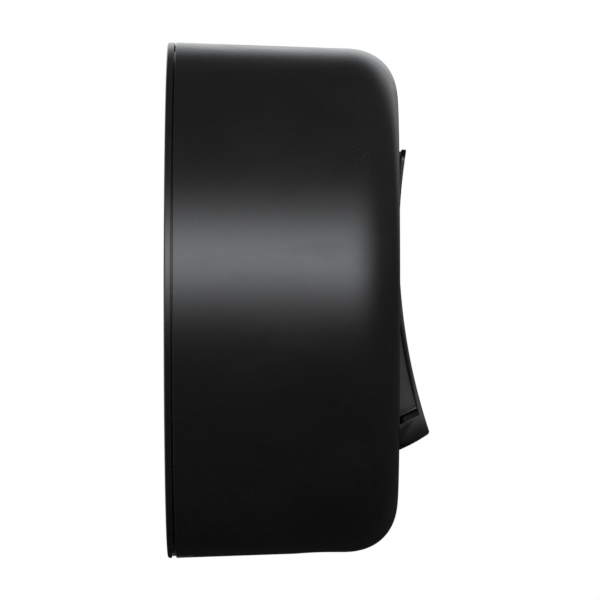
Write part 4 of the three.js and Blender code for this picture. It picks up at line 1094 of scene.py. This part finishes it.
def make_screw(name, place):
    """Pan head with a cross recess, on a threaded shank."""
    low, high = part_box(name)
    head, seat = high.x - place[0], low.y + 2.6 * MM
    profile = [(0, seat), (head - 0.2 * MM, seat), (head, seat - 0.2 * MM), (head, seat - 0.7 * MM)]
    for i in range(1, 9):
        turn = math.pi / 2 * i / 8
        across = head * (1 - 0.42 * (1 - math.cos(turn)))
        profile.append((across, seat - 0.7 * MM - 1.9 * MM * math.sin(turn)))
    profile.append((0, low.y))
    cap = lathe("y", profile, place, 64)
    shank = [(0, seat - 0.5 * MM), (1.55 * MM, seat - 0.5 * MM)]
    pitch = 0.8 * MM
    turns = int((high.y - seat) / pitch)
    for i in range(turns):
        at = seat + pitch * i
        shank += [(1.55 * MM, at + pitch * 0.35), (1.2 * MM, at + pitch * 0.85)]
    shank += [(0.8 * MM, high.y), (0, high.y)]
    x, z = place
    long, thin = 2 * MM, 0.4 * MM
    cross = [
        block((x - long, low.y - MM, z - thin), (x + long, low.y + 1.3 * MM, z + thin)),
        block((x - thin, low.y - MM, z - long), (x + thin, low.y + 1.3 * MM, z + long)),
    ]
    return combine(cap, add=[lathe("y", shank, place, 32)], cut=cross)


def make_presser_pad():
    low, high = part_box("presser_pad")
    crown, height = 14 * MM, (low.z + high.z) / 2
    reach = (high.z - low.z) / 2
    arc = []
    for i in range(25):
        rise = -reach + 2 * reach * i / 24
        arc.append((high.y - crown + math.sqrt(crown ** 2 - rise ** 2), height + rise))
    return soften(prism("x", [(low.y, low.z), *arc, (low.y, high.z)], low.x, high.x), 0.3 * MM, 2)


# ---------------------------------------------------------------- tank

tank_low, tank_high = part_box("tank")
TANK_RADIUS = DRUM_RADIUS - 14 * MM
TANK_TOP = DRUM_RADIUS - 44 * MM
TANK_BOTTOM = tank_low.z + 7 * MM
TANK_WALL = 2 * MM
MOUTH_HALF, MOUTH_BACK, MOUTH_FRONT = 22 * MM, 41 * MM, 61 * MM
LID_HINGE = (-MOUTH_BACK + 5 * MM, TANK_TOP + 3 * MM)
LID_KNUCKLE = 2.2 * MM
LID_PIN_HOLE = 1.3 * MM


def tank_outline(inset, steps=40):
    """Across the drum: two round sides between a flat floor and a flat top."""
    radius, top, low = TANK_RADIUS - inset, TANK_TOP - inset, TANK_BOTTOM + inset
    high, down = math.asin(top / radius), math.asin(low / radius)
    right = [down + (high - down) * i / steps for i in range(steps + 1)]
    turns = right + [math.pi - turn for turn in reversed(right)]
    return [(radius * math.cos(turn), radius * math.sin(turn)) for turn in turns]


def make_tank():
    """Moulded tank with rolled edges, sunk level bars, a spout, a mouth and hinge lugs."""
    shell = soften(prism("y", tank_outline(0), tank_low.y, tank_high.y), 3 * MM, 5, 40)
    space = prism("y", tank_outline(TANK_WALL), tank_low.y + TANK_WALL, tank_high.y - TANK_WALL)
    spout_end = tank_low.z
    spout = lathe("z", [
        (0, TANK_BOTTOM + MM), (7 * MM, TANK_BOTTOM + MM), (7 * MM, spout_end + 0.5 * MM),
        (6.5 * MM, spout_end), (0, spout_end),
    ], below_tank, 96)
    mouth = rounded_rectangle(-MOUTH_HALF, MOUTH_HALF, -MOUTH_FRONT, -MOUTH_BACK, 4 * MM, 8)
    grooves = []
    for i in range(5):
        height = TANK_BOTTOM + (14 + 16 * i) * MM
        half = (9 if i % 2 else 14) * MM
        grooves.append(soften(block(
            (-half, tank_low.y - MM, height - 0.5 * MM),
            (half, tank_low.y + 0.35 * MM, height + 0.5 * MM),
        ), 0.1 * MM, 1))
    lugs, holes = [], []
    turns = [math.pi * i / 20 for i in range(21)]
    for a, b in ((14 * MM, 20 * MM), (-20 * MM, -14 * MM)):
        y, z = LID_HINGE
        arch = [(y + LID_KNUCKLE, TANK_TOP - MM)]
        arch += [(y + LID_KNUCKLE * math.cos(t), z + LID_KNUCKLE * math.sin(t)) for t in turns]
        arch.append((y - LID_KNUCKLE, TANK_TOP - MM))
        lugs.append(prism("x", arch, a, b))
        holes.append(rod("x", LID_PIN_HOLE, a - MM, b + MM, LID_HINGE, 40))
    opening = prism("z", mouth, TANK_TOP - TANK_WALL - MM, TANK_TOP + MM)
    drain = rod("z", 4 * MM, spout_end - MM, TANK_BOTTOM + TANK_WALL + MM, below_tank, 96)
    tank = combine(shell, cut=[space, opening, *grooves])
    return combine(tank, add=[spout, *lugs], cut=[drain, *holes])


def make_tank_lid():
    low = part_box("tank_lid")[0]
    floor, top = TANK_TOP + 1.8 * MM, TANK_TOP + 4.3 * MM
    half, neck = MOUTH_HALF + 4 * MM, 13.6 * MM
    back = LID_HINGE[0] - LID_KNUCKLE - 0.4 * MM
    outline = rounded_rectangle(-half, half, -MOUTH_FRONT - 4 * MM, back, 3 * MM, 8)
    plate = prism("z", outline, floor, top)
    arm = block((-neck, back - MM, floor), (neck, LID_HINGE[0], top))
    lift = block((-8 * MM, low.y, top - 1.4 * MM), (8 * MM, -MOUTH_FRONT, top))
    dish = prism("z", rounded_rectangle(
        -half + 5 * MM, half - 5 * MM, -MOUTH_FRONT + MM, back - 5 * MM, 2 * MM, 6,
    ), top - 0.6 * MM, top + MM)
    lid = soften(combine(plate, add=[arm, lift], cut=[dish]), 0.3 * MM, 2)
    barrel = rod("x", LID_KNUCKLE, -neck, neck, LID_HINGE, 64)
    hole = rod("x", LID_PIN_HOLE, -neck - MM, neck + MM, LID_HINGE, 48)
    return combine(lid, add=[barrel], cut=[hole])


def make_tank_gasket():
    low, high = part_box("tank_gasket")
    wide, corner = 1.9 * MM, 4 * MM
    rings = []
    mid, thick = (low.z + high.z) / 2, (high.z - low.z) / 2
    for i in range(20):
        turn = 2 * math.pi * i / 20
        share = 0.5 + 0.5 * math.cos(turn)
        margin = -0.2 * MM + (wide + 0.2 * MM) * share
        rise = thick * max(-1.0, min(1.0, 1.3 * math.sin(turn)))
        loop = rounded_rectangle(
            -MOUTH_HALF - margin, MOUTH_HALF + margin,
            -MOUTH_FRONT - margin, -MOUTH_BACK + margin, corner, 8,
        )
        rings.append([(x, y, mid + rise) for x, y in loop])
    return stitched_rings(rings)


# ---------------------------------------------------------------- lock

LOCK_STEM_HOLE = 3.3 * MM
cam_low, cam_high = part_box("lock_cam")


def make_lock_housing():
    low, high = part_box("lock_housing")
    outer, inner, ease = high.x, LOCK_HOLE_RADIUS, 0.4 * MM
    profile = [(inner, low.z), (outer - ease, low.z), (outer, low.z + ease)]
    for i in range(9):
        at = low.z + (1.2 + 1.1 * i) * MM
        profile += [(outer, at), (outer - 0.3 * MM, at + 0.55 * MM)]
    profile += [(outer, high.z - ease), (outer - ease, high.z), (inner, high.z)]
    return lathe("z", profile, LOCK, 96, closed=True)


def make_lock_plug():
    low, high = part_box("lock_plug")
    radius, tail, shoulder = high.x, 3 * MM, cam_high.z + GAP
    plug = lathe("z", [
        (0, low.z), (tail - 0.4 * MM, low.z), (tail, low.z + 0.4 * MM),
        (tail, shoulder), (radius, shoulder),
        (radius, high.z - 0.4 * MM), (radius - 0.4 * MM, high.z), (4.4 * MM, high.z),
        (4.3 * MM, high.z - 0.25 * MM), (3.9 * MM, high.z - 0.25 * MM),
        (3.8 * MM, high.z), (0, high.z),
    ], LOCK, 96)
    thin, long = 0.7 * MM, 3.2 * MM
    keyway = block((-thin, LOCK[1] - long, high.z - 8 * MM), (thin, LOCK[1] + long, high.z + MM))
    ward = block(
        (thin - 0.1 * MM, LOCK[1] - 0.4 * MM, high.z - 8 * MM),
        (thin + 0.5 * MM, LOCK[1] + 1.2 * MM, high.z + MM),
    )
    return combine(plug, cut=[keyway, ward])


def make_lock_cam():
    """Flat lever with a round nose, on a round hub."""
    half, hub, y = 4 * MM, 6 * MM, LOCK[1]
    nose = [(half, cam_high.y - half * 0.4), (half * 0.6, cam_high.y), (-half * 0.6, cam_high.y)]
    nose.append((-half, cam_high.y - half * 0.4))
    start = math.asin(half / hub)
    arc = [math.pi / 2 + start + (2 * math.pi - 2 * start) * i / 40 for i in range(41)]
    outline = nose + [(hub * math.cos(t), y + hub * math.sin(t)) for t in arc]
    cam = prism("z", outline, cam_low.z, cam_high.z)
    hole = rod("z", LOCK_STEM_HOLE, cam_low.z - MM, cam_high.z + MM, LOCK, 48)
    return soften(combine(cam, cut=[hole]), 0.25 * MM, 2)


def make_lock_nut():
    low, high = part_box("lock_nut")
    radius = 5 * MM
    turns = [math.pi / 3 * i for i in range(6)]
    outline = [(radius * math.cos(t), LOCK[1] + radius * math.sin(t)) for t in turns]
    hexagon = prism("z", outline, low.z, high.z)
    turned = lathe("z", [
        (0, low.z), (radius - 0.7 * MM, low.z), (radius, low.z + 0.5 * MM),
        (radius, high.z - 0.5 * MM), (radius - 0.7 * MM, high.z), (0, high.z),
    ], LOCK, 96)
    hole = rod("z", LOCK_STEM_HOLE, low.z - MM, high.z + MM, LOCK, 48)
    return combine(hexagon, keep=[turned], cut=[hole])


def make_strike():
    """Bent steel strip: a foot on the plate, a shelf, and a lip that the cam turns behind."""
    low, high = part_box("lock_strike")
    thick, shelf = 2 * MM, cam_low.z - 4 * MM
    strip = [
        (high.y, low.z), (high.y, shelf + thick),
        (low.y + thick, shelf + thick), (low.y + thick, high.z),
        (low.y, high.z), (low.y, shelf), (high.y - thick, shelf), (high.y - thick, low.z),
    ]
    return soften(prism("x", strip, low.x, high.x), 0.5 * MM, 3)


# ---------------------------------------------------------------- every piece on its body

def stop_disc(name):
    low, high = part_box(name)
    centre = ((low.x + high.x) / 2, (low.z + high.z) / 2)
    radius, ease = high.x - centre[0], 0.4 * MM
    return lathe("y", [
        (0, low.y), (radius - ease, low.y), (radius, low.y + ease), (radius, high.y - 0.8 * MM),
        (radius - 0.3 * MM, high.y - 0.3 * MM), (radius - 0.9 * MM, high.y), (0, high.y),
    ], centre, 64)


piece(make_cover(), "cover_shell", COVER_PLASTIC, "cover", "cover_black", "cover", smooth=30)
piece(make_back_plate(), "wall_plate", PLATE_PLASTIC, "wall_unit", "plate_black", "back_plate")
piece(pin("cover_hinge_pin"), "hinge_pin", STEEL_PIN, "wall_unit", "steel", "cover_hinge_pin")
piece(make_lever_face(), "lever_skin", LEVER_GLOSS, "lever", "lever_gloss", "lever_face")
piece(make_lever_body(), "lever_carrier", LEVER_GREY, "lever", "lever_grey", "lever_body")
piece(pin("lever_pin"), "lever_pivot_pin", STEEL_PIN, "cover", "steel", "lever_pin")
piece(make_presser_pad(), "presser", GREY_PLASTIC, "lever", "fitting_grey", "presser_pad")
for side in ("left", "right"):
    name = f"lever_stop_{side}"
    piece(stop_disc(name), f"stop_{side}", RUBBER, "cover", "rubber", name)
piece(make_pump_body(), "pump_cylinder", WHITE_PLASTIC, "wall_unit", "pump_white", "pump_body")
piece(make_pump_cap(), "pump_collar", GREY_PLASTIC, "wall_unit", "fitting_grey", "pump_cap")
piece(make_piston(), "pump_piston", WHITE_PLASTIC, "piston", "pump_white", "piston")
piece(make_piston_seal(), "piston_ring", RUBBER, "piston", "rubber", "piston_seal")
piece(make_piston_button(), "push_button", GREY_PLASTIC, "piston", "fitting_grey", "piston_button")
spring = piece(make_pump_spring(), "return_spring", STEEL_PIN, None, "steel", "pump_spring")
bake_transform(spring)
piece(make_inlet_valve(), "valve_flap", SILICONE, "wall_unit", "silicone", "inlet_valve")
spout_ring = make_round_seal("spout_seal", 7.3 * MM, "z", below_tank)
piece(spout_ring, "spout_ring", RUBBER, "wall_unit", "rubber", "spout_seal")
piece(make_outlet_tube(), "soap_pipe", WHITE_PLASTIC, "wall_unit", "pump_white", "outlet_tube")
piece(make_tube_nut(), "pipe_nut", GREY_PLASTIC, "wall_unit", "fitting_grey", "tube_nut")
piece(make_nozzle_tip(), "soft_nozzle", SILICONE, "wall_unit", "silicone", "nozzle_tip")
piece(make_bracket(), "pump_holder", GREY_PLASTIC, "wall_unit", "fitting_grey", "pump_bracket")
for name, place in zip(SCREW_NAMES, screw_places):
    head_name = name.replace("bracket", "pan_head")
    piece(make_screw(name, place), head_name, STEEL_PIN, "wall_unit", "steel", name)
piece(make_tank(), "soap_tank", TANK_PLASTIC, "wall_unit", "tank_natural", "tank", smooth=40)
piece(make_tank_lid(), "filler_lid", GREY_PLASTIC, "tank_lid", "fitting_grey", "tank_lid")
piece(make_tank_gasket(), "filler_seal", RUBBER, "tank_lid", "rubber", "tank_gasket")
lid_pin = pin("tank_lid_pin", dome=0.25 * MM)
piece(lid_pin, "lid_pin", STEEL_PIN, "wall_unit", "steel", "tank_lid_pin")
piece(make_lock_housing(), "lock_barrel", ZINC, "cover", "zinc", "lock_housing")
piece(make_lock_plug(), "key_plug", ZINC, "lock", "zinc", "lock_plug")
piece(make_lock_cam(), "lock_lever", STEEL_SHEET, "lock", "steel", "lock_cam")
piece(make_lock_nut(), "cam_nut", STEEL_SHEET, "lock", "steel", "lock_nut")
piece(make_strike(), "strike_plate", STEEL_SHEET, "wall_unit", "steel", "lock_strike")


# ---------------------------------------------------------------- studio

CAMERA_PLACE = (-3.19, -0.0563, 0.0001)
CAMERA_TURN = (math.pi / 2, 0, -math.pi / 2)
CAMERA_LENS = 448.2
LIGHT_TARGET = Vector((0, -0.05, 0))
TOP_PANEL_POWER = 85
FRONT_PANEL_POWER = 25
FLOOR_HEIGHT = -1.0
# The surroundings that the object's surfaces see: how high and how strong each light patch is.
SOFTBOX_HEIGHT = 0.38
SOFTBOX_SPREAD = 0.29
SOFTBOX_FOCUS = 3.5
SOFTBOX_LEVEL = 6.6
BACKDROP_BOTTOM = (-0.02, 0.2)
BACKDROP_TOP = (0.34, 0.6)
BACKDROP_LEVEL = 1.6
FRONT_LEVEL = 0.1
WALL_SIDE_LEVEL = 1.6
DIM_LEVEL = 0.036
SOFT_WHITE = (0.955, 0.975, 1.0)


def area_light(name, place, size, power):
    """A soft panel, which lights surfaces without showing in their gloss."""
    data = bpy.data.lights.new(name, "AREA")
    data.shape = "RECTANGLE"
    data.size, data.size_y = size
    data.energy = power
    light = bpy.data.objects.new(name, data)
    light.location = place
    light.rotation_euler = (LIGHT_TARGET - Vector(place)).to_track_quat("-Z", "Y").to_euler()
    light.visible_glossy = False
    bpy.context.scene.collection.objects.link(light)


def make_camera():
    data = bpy.data.cameras.new("side_camera")
    data.lens = CAMERA_LENS
    data.sensor_width = 36
    data.clip_end = 50
    camera = bpy.data.objects.new("side_camera", data)
    camera.location = CAMERA_PLACE
    camera.rotation_euler = CAMERA_TURN
    bpy.context.scene.collection.objects.link(camera)
    bpy.context.scene.camera = camera


def make_world():
    """White to the camera. To the object, a dim studio with a broad softbox and a far backdrop."""
    world = bpy.data.worlds.new("studio")
    world.use_nodes = True
    bpy.context.scene.world = world
    world.node_tree.nodes.clear()
    sheet = NodeSheet(world.node_tree)
    direction = sheet.node("ShaderNodeTexCoord", output="Generated")
    x, y, z = (
        sheet.node("ShaderNodeSeparateXYZ", None, {0: direction}, output) for output in range(3)
    )
    glow = z.lobe(SOFTBOX_HEIGHT, SOFTBOX_SPREAD)
    softbox = glow * (0 - x).positive() ** SOFTBOX_FOCUS * SOFTBOX_LEVEL
    band = x.ramp(0.3, 0.9) * z.ramp(*BACKDROP_BOTTOM) * (1 - z.ramp(*BACKDROP_TOP))
    backdrop = band * y.ramp(-0.62, 0.0)
    front = (0 - y).positive() ** 6 * z.ramp(-0.3, 0.5) * FRONT_LEVEL
    wall_side = y.positive() ** 4 * WALL_SIDE_LEVEL
    light = softbox + backdrop * BACKDROP_LEVEL + front + wall_side + DIM_LEVEL * z.ramp(-1.2, 0.6)
    soft = sheet.node("ShaderNodeBackground", None, {"Color": rgb(*SOFT_WHITE), "Strength": light})
    white = sheet.node("ShaderNodeBackground", None, {"Color": rgb(1, 1, 1), "Strength": 1.0})
    seen = sheet.node("ShaderNodeLightPath", output="Is Camera Ray")
    mixed = sheet.node("ShaderNodeMixShader", None, {0: seen, 1: soft, 2: white})
    sheet.node("ShaderNodeOutputWorld", None, {"Surface": mixed}, None)


def make_floor():
    floor = block((-2.4, -2.4, FLOOR_HEIGHT - 0.02), (2.4, 2.0, FLOOR_HEIGHT))
    floor.name = "studio_floor"
    paint = Finish("floor_paper", roughness=0.8)
    pale, paler = rgb(0.78, 0.78, 0.775), rgb(0.82, 0.82, 0.81)
    paint.set("Base Color", paint.mix(paint.noise(300 * MM, 3), paler, pale))
    floor.data.materials.append(paint.material)
    floor.visible_glossy = False


area_light("top_panel", (-0.6, -1.2, 2.4), (1.6, 1.6), TOP_PANEL_POWER)
area_light("front_panel", (-1.2, -2.4, 0.6), (1.6, 1.2), FRONT_PANEL_POWER)
make_camera()
make_world()
make_floor()
bpy.context.scene.view_settings.view_transform = "Standard"
